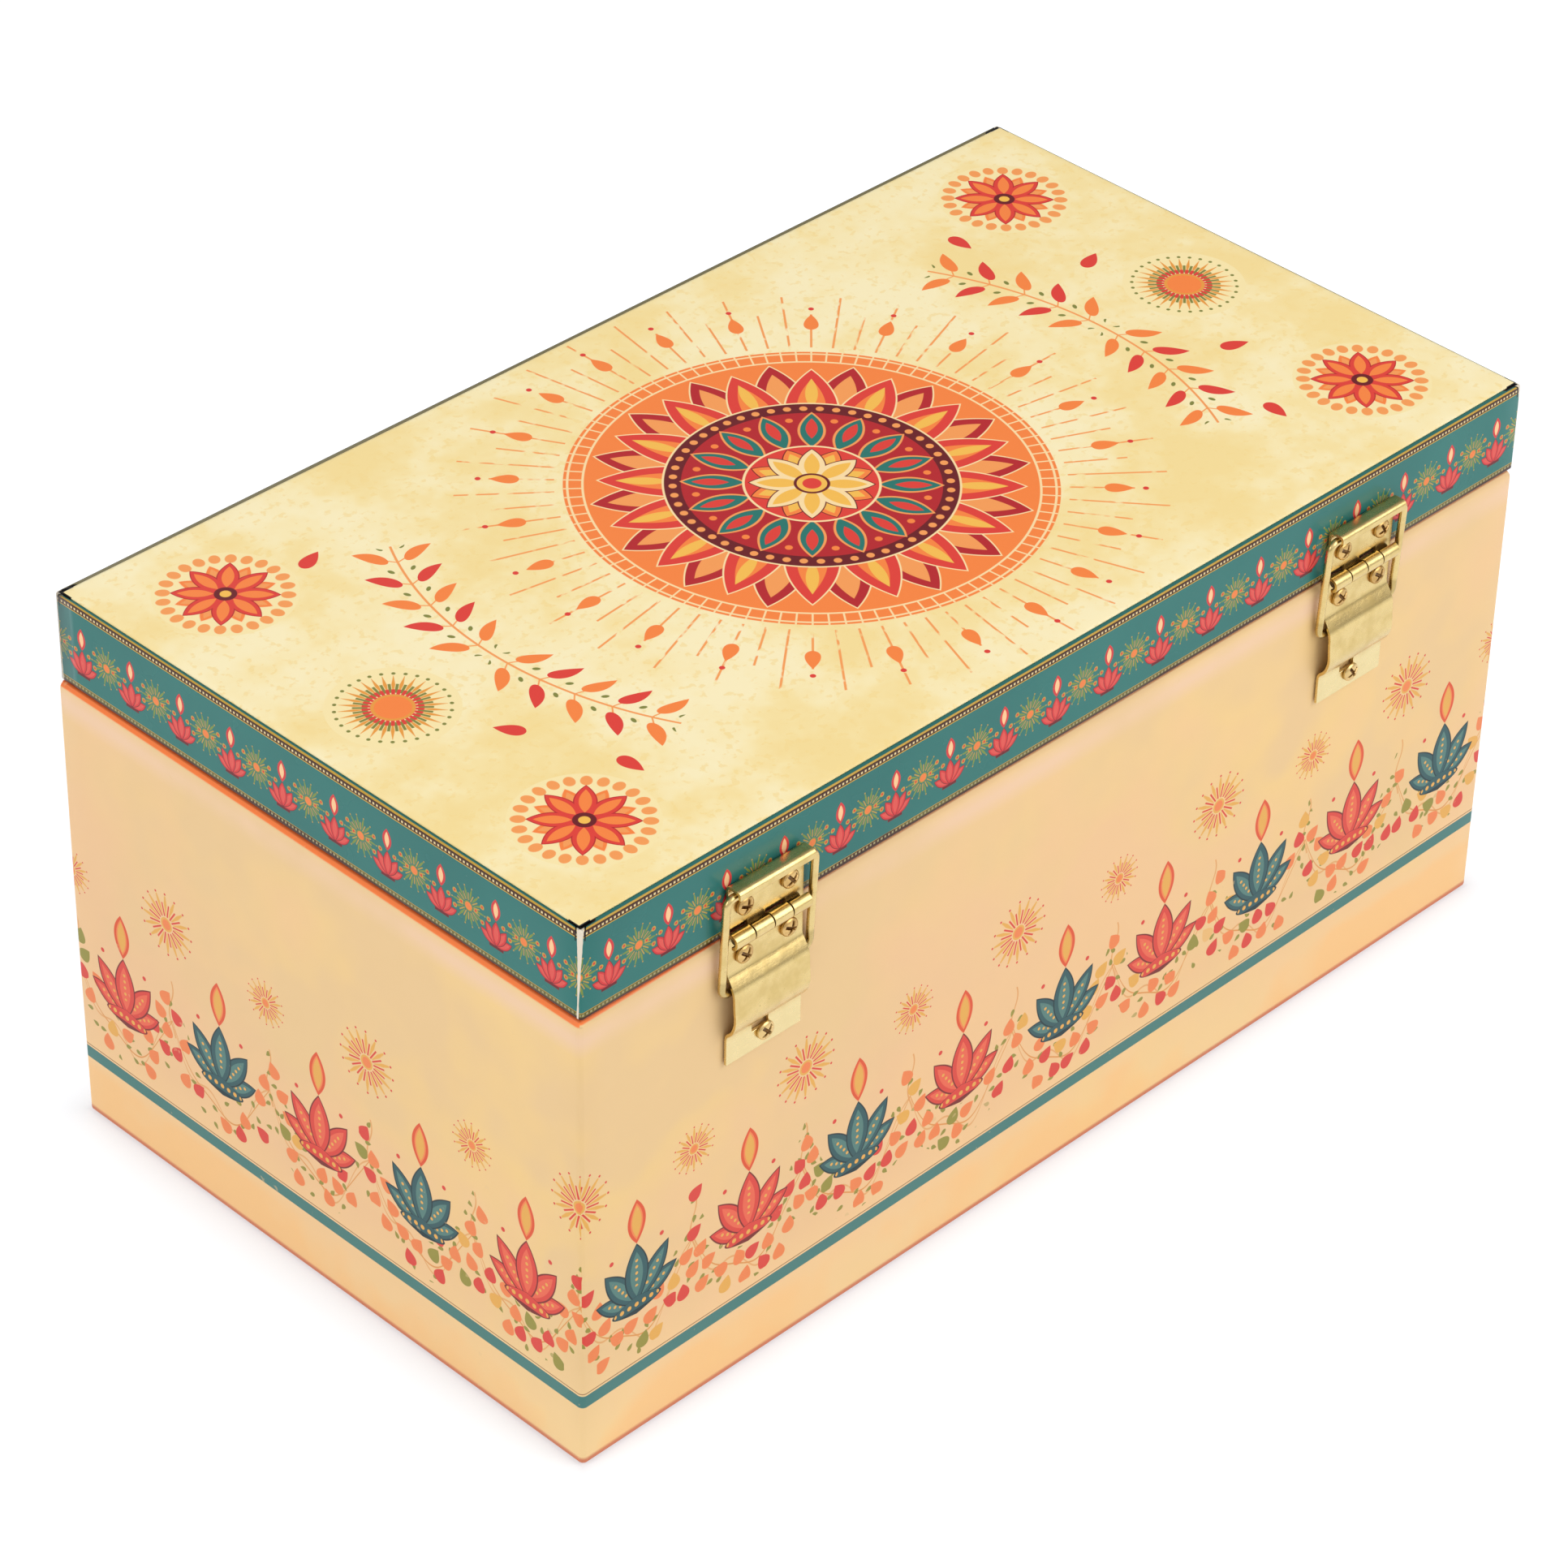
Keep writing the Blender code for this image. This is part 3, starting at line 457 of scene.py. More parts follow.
def topPaper():
    look = {
        **palette(
            paper=(251, 231, 172), straw=(247, 219, 146), pale=(253, 240, 196), red=(226, 62, 52),
            deepRed=(184, 32, 40), maroon=(108, 22, 30), orange=(250, 134, 62), apricot=(248, 158, 86),
            cream=(253, 222, 166), yellow=(248, 190, 80), amber=(236, 156, 62), teal=(36, 118, 108),
            olive=(132, 134, 62), black=(24, 24, 26),
        ),
        "sun": 57.0,  # radius in mm
        "arc": 99.0,
        "arcPitch": 9.4,
        "leaf": {"pitch": 26.0, "jitter": 0.35, "length": 7.6, "width": 2.0, "sway": 6.0},
        "smallSunX": 128.0,
        "smallSun": (13.0, 30, 0.32),
        "rosette": (126.0, 58.0),
    }
    material, start = newMaterial("printedTopPaper", 0.42, shine=0.25)
    point, x, yBox = position(start)[:3]
    y = yBox - box["sheetCentreY"]
    farX, farY = abs(x), abs(y)
    cloud = noise(point, 0.03, 4.0, 0.65)
    r, angle = polar(x, y)
    full = 2 * math.pi
    sun = look["sun"]

    def ring(count, phase=0.0):  # distance across, from the middle of the nearest of so many round the circle
        shifted = angle + phase * full / count if phase else angle
        return shifted.wrap(full / count) * r

    # rays with a broken brush line and a leaf at every third, round the sun and its border of small bricks
    brush = noise(plane(angle * 30.0, r * 0.25), 1.0, 1.0)
    reach = abs(ring(36)).under(0.9).scaled(8.0, 74.0)
    rays = abs(ring(72)).under(0.28) * r.over(sun + 2.0) * (r - reach).under(0.0) * brush.under(0.58, 0.1)
    tip = ring(24)
    brick = abs(ring(96)).under(0.22) * r.over(sun - 4.4)
    brick = brick.most(abs(r - sun + 4.5).under(0.28)).most(abs(r - sun + 1.0).under(0.28))
    # petals in two rows half a step apart, and eyes between them and the inner flower
    wide, narrow = ring(16), ring(16, 0.5)
    eye = petal(wide, r - 14.8, 15.6, 3.3)
    # at each end an arc of leaves round the middle
    far, fold = polar(farX, y)
    run, outward = abs(fold * look["arc"]), abs(far - look["arc"])
    step = look["arcPitch"]
    place = run - outward * 0.6 - step / 2
    lean, number = place.wrap(step), place.cell(step)
    onArc = abs(number - 2.0).under(2.5)
    look["arcLeaf"] = flatColor(start, look["orange"]).paint(look["red"], number.odd())
    # small leaves strewn about, and a sun beyond each arc
    strew, chance, middle = strewn(x, y, **look["leaf"])[:3]
    middleX, middleY = abs(middle[0]), abs(middle[1])
    distance = away(middleX, middleY)
    free = distance.over(114.0, 0.1).most(distance.over(86.0, 0.1) * middleY.over(60.0, 0.1))
    free *= middleX.under(142.0, 0.1) * middleY.under(77.0, 0.1)
    sunX = farX - look["smallSunX"]
    sunR, sunAngle = polar(sunX, y)
    shortRay = abs(sunAngle.wrap(full / look["smallSun"][1])) * sunR
    # rosette in each quarter, and black nicks at the sheet's corners
    rr, ra = polar(farX - look["rosette"][0], farY - look["rosette"][1])
    beads = away(ra.wrap(full / 24) * rr, (rr - 14.0) * 0.8)
    between, straight = (ra + full / 16).wrap(full / 8) * rr, ra.wrap(full / 8) * rr
    edgeX, edgeY = farX - box["sheetHalf"][0], farY - box["sheetHalf"][1]
    color = layered(flatColor(start, look["paper"]), look, [
        ("straw pale", cloud.over(0.54, 0.16) * 0.75, cloud.under(0.44, 0.16) * 0.8),
        ("straw", noise(point, 0.5, 2.0).over(0.62, 0.08) * 0.6),
        ("apricot", rays),
        ("orange", leafShape(tip, r - 67.0, 7.0, 1.9).under(-0.1)),
        ("red", away(tip, r - 76.5).under(0.7)),
        ("orange cream", r.under(sun), brick * r.under(sun)),
        ("cream deepRed apricot", *petals(narrow, r - 22.0, 29.5, 6.2, 0.45)),
        ("cream red orange", *petals(wide, r - 15.0, 34.5, 6.6, 0.45)),
        ("yellow", petal(wide, r - 32.0, 13.0, 1.5).under(0.0)),
        ("cream maroon", r.under(34.4), r.under(33.9)),
        ("apricot", away(ring(52), r - 31.9).under(0.95)),
        ("deepRed", r.under(30.0)),
        ("apricot teal", eye.under(0.0), eye.under(-0.6)),
        ("red", petal(wide, r - 19.0, 8.6, 1.4).under(0.0)),
        ("orange", away(narrow, r - 27.0).under(0.9)),
        ("cream red", r.under(16.0), r.under(15.4)),
        ("maroon orange yellow", *petals(ring(8, 0.5), r - 1.0, 14.2, 3.8, 0.35)),
        ("maroon cream yellow", *petals(ring(8), r - 0.5, 14.2, 3.5, 0.35)),
        ("maroon yellow red", r.under(4.2), r.under(3.5), r.under(2.2)),
        ("apricot", outward.under(0.3) * run.under(49.0)),
        ("apricot", abs(lean).under(0.22) * outward.under(2.6) * onArc),
        ("arcLeaf", leafShape(lean, outward - 1.9, 7.4, 2.15).under(-0.1) * onArc),
        ("olive", away(abs(lean) - step / 2, outward - 2.6).under(0.7) * onArc),
        ("red", strew.under(-0.1) * free * chance.over(0.15, 0.02)),
        ("paper", sunR.under(15.0)),
        ("amber olive olive amber orange", *burst(sunX, y, *look["smallSun"], 0.034)),
        ("red", shortRay.under(0.42) * sunR.within(4.9, 6.8)),
        ("paper apricot", rr.under(16.5), beads.under(1.35)),
        ("cream orange apricot", *petals(between, rr - 1.0, 11.0, 2.6)),
        ("deepRed red orange", *petals(straight, rr - 1.0, 11.4, 2.7)),
        ("maroon yellow", rr.under(2.6), rr.under(1.3)),
        ("black", edgeX.most(edgeY).over(-0.2, 0.1) * edgeX.least(edgeY).over(-3.2, 0.2)),
    ])
    relief = noise(point, 0.02, 2.0) * 4.0 + noise(point, 1.3, 3.0) * 0.06
    return surface(material, color, noise(point, 0.06, 3.0).scaled(0.2, 0.32), relief)


def plainPaper(name, color, shade):
    material, start = newMaterial(name, 0.72)
    point = position(start)[0]
    fibre = noise(point, 0.7, 4.0, 0.65)
    base = flatColor(start, color).paint(shade, fibre.over(0.5, 0.3) * 0.5)
    base = base.paint(shade, noise(point, 0.02, 2.0).over(0.5, 0.4) * 0.4)
    relief = fibre * 0.5 + noise(point, 0.03, 1.0) * 3.0
    return surface(material, base, fibre.scaled(0.2, 0.62), relief)


def fibreboard():
    material, start = newMaterial("fibreboard", 0.85)
    point = position(start)[0]
    fleck = noise(point, 1.6, 4.0, 0.7)
    base = flatColor(start, ink(178, 142, 100)).paint(ink(140, 104, 68), fleck.over(0.52, 0.16))
    base = base.paint(ink(204, 172, 130), noise(point, 4.0, 2.0).over(0.6, 0.1) * 0.6)
    return surface(material, base, fleck.scaled(0.2, 0.72), fleck, 0.06)


def drawnLines(point, stretch):  # noise that is drawn out along the wire or the sheet
    drawn = {0: point, 1: stretch}
    return noise(point.node("ShaderNodeVectorMath", {"operation": "MULTIPLY"}, drawn), 1.0, 2.0)


def brass(name, rough, **colors):
    look = palette(**colors)
    material, start = newMaterial(name, rough, metallic=1.0)
    point, *_, z = position(start)
    cloud = noise(point, 0.22, 3.0, 0.6)
    # spots, painted shade dimming the ramp of the case leaf, paler below its bridge, and painted shade in the
    # screws' crosses
    base = layered(flatColor(start, look["plate"]), look, [
        ("deep", cloud.over(0.54, 0.25) * 0.7),
        ("spot", noise(point, 1.7, 2.0).over(0.73, 0.04) * 0.5),
        # painted shade on the case leaf's ramp, dimming its reflection
        ("spot", z.within(111.7, 115.5, 1.0) * 0.4),
        ("pale", z.under(98.0, 2.0) * 0.7),
        # painted shade in the screws' crosses, by how deep each point is sunk
        ("sunk", start.node("ShaderNodeAttribute", {"attribute_name": "sunk"}, {}, "Fac")),
    ])
    drawn = drawnLines(point, (0.12, 1.0, 2.6))
    roughness = cloud.scaled(0.14, rough - 0.05) + drawn * 0.08
    return surface(material, base, roughness, cloud * 0.9 + drawn * 0.08)


def steel():
    material, start = newMaterial("drawnSteelPin", 0.35, metallic=1.0)
    drawn = drawnLines(position(start)[0], (0.2, 3.0, 3.0))
    base = flatColor(start, ink(120, 112, 96)).paint(ink(84, 78, 66), drawn.over(0.5, 0.3))
    feed(material, "Base Color", base)
    feed(material, "Roughness", drawn.scaled(0.25, 0.22))
    return material


# Surfaces

def gridQuads(rows, columns, closed):  # the cells of a grid, which joins up where closed
    rowSteps = np.arange(rows if closed[0] else rows - 1)
    columnSteps = np.arange(columns if closed[1] else columns - 1)
    i, j = np.meshgrid(rowSteps, columnSteps, indexing="ij")
    nextI, nextJ = (i + 1) % rows, (j + 1) % columns
    corners = [i * columns + j, i * columns + nextJ, nextI * columns + nextJ, nextI * columns + j]
    return np.stack(corners, axis=-1)


def meshPiece(name, points, *identity, closed=(False, False), keep=None):
    # a grid of points (rows, columns, 3) in mm as quads; keep says which cells stay
    quads = gridQuads(*points.shape[:2], closed)
    quads = quads.reshape(-1, 4) if keep is None else quads[keep]
    return finishPiece(name, points.reshape(-1, 3), quads.tolist(), *identity)


def cappedPiece(name, points, *identity):  # a grid closed round its columns, with a face over each end
    rows, columns = points.shape[:2]
    quads = gridQuads(rows, columns, (False, True)).reshape(-1, 4).tolist()
    first, last = list(range(columns)), list(range((rows - 1) * columns, rows * columns))
    piece = finishPiece(name, points.reshape(-1, 3), [*quads, first, last[::-1]], *identity)
    turnOutward(piece)
    return piece


def newObject(name, data):
    made = bpy.data.objects.new(name, data)
    bpy.context.scene.collection.objects.link(made)
    return made


def modify(piece, name, kind, **settings):
    modifier = piece.modifiers.new(name, kind)
    for key, value in settings.items():
        setattr(modifier, key, value)


def finishPiece(name, points, faces, body, node, slotName, material):  # a mesh of the points that faces use
    used = np.unique(np.concatenate([np.array(face) for face in faces]))
    number = np.zeros(len(points), int)
    number[used] = np.arange(len(used))
    mesh = bpy.data.meshes.new(name)
    mesh.from_pydata((points[used] * mm).tolist(), [], [[int(number[k]) for k in face] for face in faces])
    mesh.materials.append(material)
    mesh.shade_smooth()
    mesh.update()
    piece = newObject(name, mesh)
    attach(piece, body)
    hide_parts(node)
    return piece


def turnOutward(piece):
    # the triple products of its triangles' corners add up to six times the volume, below zero if inside out
    mesh = piece.data
    mesh.calc_loop_triangles()
    corners = np.zeros(len(mesh.vertices) * 3)
    mesh.vertices.foreach_get("co", corners)
    triangles = np.zeros(len(mesh.loop_triangles) * 3, int)
    mesh.loop_triangles.foreach_get("vertices", triangles)
    a, b, c = corners.reshape(-1, 3)[triangles.reshape(-1, 3)].transpose(1, 0, 2)
    if np.einsum("ij,ij->", a, np.cross(b, c)) < 0:
        mesh.flip_normals()


def smoothWave(points, seed, pitch):
    # slow swell from 0 to 1: a few sines of the place, each with its own direction
    chance = np.random.default_rng(seed)
    directions = chance.normal(size=(5, 3))
    directions /= np.linalg.norm(directions, axis=1)[:, None]
    phases = chance.uniform(0, 2 * math.pi, 5)
    waves = np.sin(points @ directions.T * (2 * math.pi / pitch) + phases)
    return 0.5 + 0.5 * waves.mean(axis=-1)


def foldedShell(name, profile, half, centreY, radius, swell, *identity):
    # a profile of (inset, height) carried round a rectangle with rounded corners: at each inset the corner's
    # radius is the outer one less the inset, and the sides run straight between the corners
    fold = {"steps": 8, "least": 0.25, "sideStep": 6.0, "skin": 0.7, "seed": 11, "pitch": 120.0}
    inset, height = np.concatenate(profile).T
    signs = np.array([(1, 1), (-1, 1), (-1, -1), (1, -1)], float)
    starts = np.radians([0, 90, 180, 270])
    fromSign, toSign, direction, share = [], [], [], []
    for k in range(4):
        angles = starts[k] + np.linspace(0, math.pi / 2, fold["steps"] + 1)
        quarter = np.stack([np.cos(angles), np.sin(angles)], axis=1)
        count = int(2 * half[k % 2] / fold["sideStep"])
        fromSign += [signs[k]] * (len(quarter) + count)
        toSign += [signs[k]] * len(quarter) + [signs[(k + 1) % 4]] * count
        direction += [*quarter, *([quarter[-1]] * count)]
        share += [0.0] * len(quarter) + list(np.linspace(0, 1, count + 2)[1:-1])
    fromSign, toSign, direction = (np.array(part)[None] for part in (fromSign, toSign, direction))
    share = np.array(share)[None, :, None]
    bend = np.maximum(radius - inset, fold["least"])[:, None, None]
    middle = np.array(half)[None, None] - inset[:, None, None] - bend
    corner = bend * direction
    ring = (1 - share) * (fromSign * middle + corner) + share * (toSign * middle + corner)
    points = np.concatenate([ring, np.broadcast_to(height[:, None, None], ring.shape[:2] + (1,))], axis=2)
    push = smoothWave(points, fold["seed"], fold["pitch"]) * swell * (inset < fold["skin"])[:, None]
    toMiddle = np.sign(points[..., :2]) * (np.abs(points[..., :2]) > middle)
    points[..., :2] -= toMiddle * push[..., None]
    points[..., 1] += centreY
    turnOutward(meshPiece(name, points, *identity, closed=(True, True)))


def arc(centre, radius, start, end, steps):  # points of an arc as (a, b), angles in degrees
    angles = np.radians(np.linspace(start, end, steps + 1))
    return np.stack([centre[0] + radius * np.cos(angles), centre[1] + radius * np.sin(angles)], axis=1)


def rise(a, b, steps):  # points from a to b, both left out
    return np.linspace(a, b, steps + 2)[1:-1]


def caseWrapPiece(material):
    wrap = {
        "skin": 0.6, "lining": 6.8, "liningFoot": 6.9, "bottom": 0.9, "under": (2.9, 12.0),
        "foot": (2.4, 0.3), "footBend": 0.7, "rimBend": 2.2, "edgeBend": 0.5, "corner": 1.4, "swell": 0.28,
    }
    rim, skin, inner, bottom = box["rim"], wrap["skin"], wrap["lining"], wrap["bottom"]
    footBend, rimBend, edgeBend = wrap["footBend"], wrap["rimBend"], wrap["edgeBend"]
    footUp, bendUp = wrap["foot"][1] + footBend, rim - rimBend
    profile = [
        [wrap["foot"]],
        arc((footBend, footUp), footBend, 270, 180, 4),
        rise((0.0, footUp), (0.0, bendUp), 22),
        arc((rimBend, bendUp), rimBend, 180, 90, 8),
        arc((inner - edgeBend, rim - edgeBend), edgeBend, 90, 0, 4),
        rise((inner, rim - edgeBend), (inner, wrap["liningFoot"]), 6),
        [(inner, wrap["liningFoot"]), (inner - skin, wrap["liningFoot"])],
        arc((inner - skin - 0.1, rim - skin - 0.1), 0.1, 0, 90, 2),
        arc((rimBend, bendUp), rimBend - skin, 90, 180, 8),
        rise((skin, bendUp), (skin, bottom + skin + 0.1), 22),
        [(skin + 0.1, bottom + skin), (wrap["under"][1], bottom + skin)],
        [(wrap["under"][1], bottom), (wrap["under"][0], bottom)],
    ]
    half = (box["length"] / 2, box["depth"] / 2)
    identity = "case", "case_wrap", "body_paper", material
    foldedShell("bodyWrap", profile, half, 0.0, wrap["corner"], wrap["swell"], *identity)


def bandPiece(material):
    band = {
        "skin": 0.6, "lining": 6.8, "liningTop": 142.6, "over": 10.0, "topBend": 0.5, "lowBend": 0.6,
        "edgeBend": 0.3, "corner": 0.8, "swell": 0.2,
    }
    low, top, skin, inner, over = box["seam"], box["bandTop"], band["skin"], band["lining"], band["over"]
    topBend, lowBend, edgeBend = band["topBend"], band["lowBend"], band["edgeBend"]
    profile = [
        [(over, top)],
        arc((topBend, top - topBend), topBend, 90, 180, 4),
        rise((0.0, top - topBend), (0.0, low + lowBend), 8),
        arc((lowBend, low + lowBend), lowBend, 180, 270, 4),
        arc((inner - edgeBend, low + edgeBend), edgeBend, 270, 360, 3),
        [(inner, band["liningTop"]), (inner - skin, band["liningTop"])],
        [(inner - skin, low + skin + 0.1), (skin + 0.1, low + skin), (skin, low + skin + 0.1)],
        rise((skin, low + skin), (skin, top - skin), 8),
        [(skin, top - skin - 0.1), (skin + 0.1, top - skin), (over, top - skin)],
    ]
    place = box["bandHalf"], box["bandCentreY"]
    identity = "lid", "lid_band", "band_paper", material
    foldedShell("lidBand", profile, *place, band["corner"], band["swell"], *identity)


def topSheetPiece(material):
    # a grid a sheet's thickness below the top, its last millimetre pressed down over the band's edge
    sheet = {"thick": 0.3, "press": 0.2, "edge": 0.8, "steps": (76, 42)}
    lines = [
        half * (np.sin(np.linspace(-0.5, 0.5, steps) * math.pi * 0.96) / math.sin(0.48 * math.pi))
        for half, steps in zip(box["sheetHalf"], sheet["steps"])
    ]
    x, y = np.meshgrid(*lines, indexing="ij")
    edge = np.minimum(box["sheetHalf"][0] - np.abs(x), box["sheetHalf"][1] - np.abs(y))
    z = box["top"] - sheet["press"] * np.exp(-edge / sheet["edge"])
    points = np.stack([x, y + box["sheetCentreY"], z], axis=2)
    piece = meshPiece("lidTopSheet", points, "lid", "lid_top_sheet", "top_paper", material)
    modify(piece, "paper", "SOLIDIFY", thickness=sheet["thick"] * mm, offset=-1.0)
    if piece.data.polygons[0].normal.z < 0:
        piece.data.flip_normals()


# Hinges: heights are from the barrel's axis, and out is from the box's back

hinge = {
    "places": {"right": 99.8, "left": -94.5}, "back": 85.75, "axis": 125.05, "axisOut": 2.2, "width": 22.6,
    "sheet": 0.8, "roll": 1.5, "barrel": 2.7, "knuckles": 4, "gap": 0.3, "flatOut": 0.7, "hook": (2.55, 12.2),
    "hookBend": 1.85, "foot": (1.25, -14.0), "wire": 0.95, "screwSeat": 1.3,
}


def smoothLine(knots, count):  # a line through the knots, each coordinate a cubic in the run along them
    knots = np.array(knots, float)
    run = np.concatenate([[0], np.cumsum(np.linalg.norm(np.diff(knots, axis=0), axis=1))])
    slope = np.gradient(knots, run, axis=0)
    at = np.linspace(0, run[-1], count)
    k = np.clip(np.searchsorted(run, at, side="right") - 1, 0, len(run) - 2)
    span = (run[k + 1] - run[k])[:, None]
    t = ((at - run[k]) / span[:, 0])[:, None]
    return (
        (2 * t**3 - 3 * t**2 + 1) * knots[k]
        + (t**3 - 2 * t**2 + t) * span * slope[k]
        + (3 * t**2 - 2 * t**3) * knots[k + 1]
        + (t**3 - t**2) * span * slope[k + 1]
    )


def leafPiece(side, line, leaf, body, material):
    # a line of (out, up) carried across the leaf's width, without the cells in the latch slot and those
    # between the other leaf's knuckles; leaf["turn"] is 1 for a leaf above the barrel and -1 for one below
    sheet = {"columns": 13, "closest": 0.12, "edge": 0.14, "edgeSegments": 2, "sharpest": 50}
    half, gap = hinge["width"] / 2, hinge["gap"] / 2
    knuckle = hinge["width"] / hinge["knuckles"]
    joints = np.arange(1, hinge["knuckles"]) * knuckle - half
    even = np.linspace(-half, half, sheet["columns"])
    marks = np.unique(np.round(np.concatenate([even, joints - gap, joints + gap, leaf["slotX"]]), 3))
    across = marks[np.concatenate([[True], np.diff(marks) > sheet["closest"]])]
    across[-1] = half
    points = np.zeros((len(line), len(across), 3))
    points[..., 0] = hinge["places"][side] + across[None]
    points[..., 1] = hinge["back"] + line[:, 0][:, None]
    points[..., 2] = hinge["axis"] + line[:, 1][:, None]
    x = (across[1:] + across[:-1]) / 2
    up = (line[1:, 1] + line[:-1, 1]) / 2
    inGap = (np.abs(x[:, None] - joints[None]) < gap).any(axis=1)
    otherLeaf = np.isin(np.floor((half - x) / knuckle), leaf["cleared"]) | inGap
    keep = ~((up * leaf["turn"] < hinge["barrel"])[:, None] & otherLeaf[None])
    inSlot = (x > leaf["slotX"][0]) & (x < leaf["slotX"][1])
    keep &= ~(inSlot[None] & ((up < leaf["slotUp"][1]) & (up > leaf["slotUp"][0]))[:, None])
    name, node = f"{body}Leaf{side.title()}", f"{body}_leaf_{side}"
    piece = meshPiece(name, points, body, node, "hinge_metal", material, keep=keep)
    modify(piece, "sheet", "SOLIDIFY", thickness=hinge["sheet"] * mm, offset=0.0, use_even_offset=True)
    sharp = {"limit_method": "ANGLE", "angle_limit": math.radians(sheet["sharpest"]), "harden_normals": True}
    modify(piece, "edge", "BEVEL", width=sheet["edge"] * mm, segments=sheet["edgeSegments"], **sharp)


def caseLeafPiece(side, material):
    leaf = {"turn": -1, "cleared": (1, 3), "slotX": (-1.2, 3.6), "slotUp": (-28.9, -26.2)}
    flat = hinge["flatOut"]
    roll = arc((hinge["axisOut"], 0.0), hinge["roll"], -90, 180, 22)
    bridge = smoothLine([
        (flat, -8.6), (flat + 0.05, -9.6), (1.85, -11.55), (2.85, -13.35), (3.3, -17.5), (3.42, -21.9),
        (2.55, -24.35), (flat + 0.1, -26.5), (flat, -27.3),
    ], 34)
    plate = [(flat, up) for up in (-1.4, -2.7, -5.6)]
    tab = [(flat, up) for up in (-27.9, -28.9, -30.0, -31.0, -32.6, -34.15)]
    leafPiece(side, np.concatenate([roll, plate, bridge, tab]), leaf, "case", material)


def lidLeafPiece(side, material):
    # its slot lies above it, so that nothing is cut out
    leaf = {"turn": 1, "cleared": (0, 2), "slotX": (-0.6, 4.2), "slotUp": (90.0, 91.0)}
    flat, bend = hinge["flatOut"], 0.9
    out, top = (value + hinge["hookBend"] for value in hinge["hook"])
    roll = arc((hinge["axisOut"], 0.0), hinge["roll"], 450, 180, 22)
    plate = [(flat, up) for up in (1.4, 2.7, 6.0, 9.0)]
    hook = [
        *arc((flat + bend, top - bend), bend, 180, 90, 8), *rise((flat + bend, top), (out - bend, top), 3),
        *arc((out - bend, top - bend), bend, 90, 0, 8), (out, hinge["hook"][1] + 0.1),
    ]
    leafPiece(side, np.concatenate([roll, plate, hook]), leaf, "lid", material)


def tube(name, path, flatNormal, radius, *identity):
    # a round section with domed ends carried along a flat path, its points off the path by
    # radius (cos t sideways + sin t flatNormal)
    rings = {"around": 18, "dome": 4, "least": 0.02}
    step = np.gradient(path, axis=0)
    step /= np.linalg.norm(step, axis=1)[:, None]
    sideways = np.cross(step, flatNormal)
    sideways /= np.linalg.norm(sideways, axis=1)[:, None]
    dome = np.linspace(0, math.pi / 2, rings["dome"] + 1)[1:]
    first = [path[0] - step[0] * radius * math.sin(a) for a in dome[::-1]]
    last = [path[-1] + step[-1] * radius * math.sin(a) for a in dome]
    centres = np.concatenate([first, path, last])
    shrink = np.concatenate([np.cos(dome[::-1]), np.ones(len(path)), np.cos(dome)])
    shrink = np.maximum(shrink, rings["least"])[:, None, None]
    before, after = (np.repeat(end, len(dome), 0) for end in (sideways[:1], sideways[-1:]))
    aside = np.concatenate([before, sideways, after])[:, None]
    t = np.linspace(0, 2 * math.pi, rings["around"], endpoint=False)[None, :, None]
    points = centres[:, None] + radius * shrink * (np.cos(t) * aside + np.sin(t) * flatNormal)
    cappedPiece(name, points, *identity)


def bailPiece(side, material):
    bail = {"legX": 13.2, "bend": 2.1, "foot": 4.2}
    bend, legX = bail["bend"], bail["legX"]
    hookOut, hookUp = hinge["hook"]
    footOut, footUp = hinge["foot"]
    length = math.hypot(hookOut - footOut, hookUp - footUp)
    half = np.concatenate([
        [(legX - bail["foot"], 0.0)],
        arc((legX - bend, bend), bend, -90, 0, 10),
        rise((legX, bend), (legX, length - bend), 6),
        arc((legX - bend, length - bend), bend, 0, 90, 10),
    ])
    flat = np.concatenate([half, (half * (-1, 1))[::-1]])
    up = np.array([0.0, hookOut - footOut, hookUp - footUp]) / length
    origin = np.array([hinge["places"][side], hinge["back"] + footOut, hinge["axis"] + footUp])
    path = origin + flat[:, :1] * np.array([1.0, 0.0, 0.0]) + flat[:, 1:] * up
    normal = np.cross([1.0, 0.0, 0.0], up)
    identity = f"bail_{side}", f"bail_{side}", "hinge_metal", material
    tube(f"bail{side.title()}", path, normal, hinge["wire"], *identity)


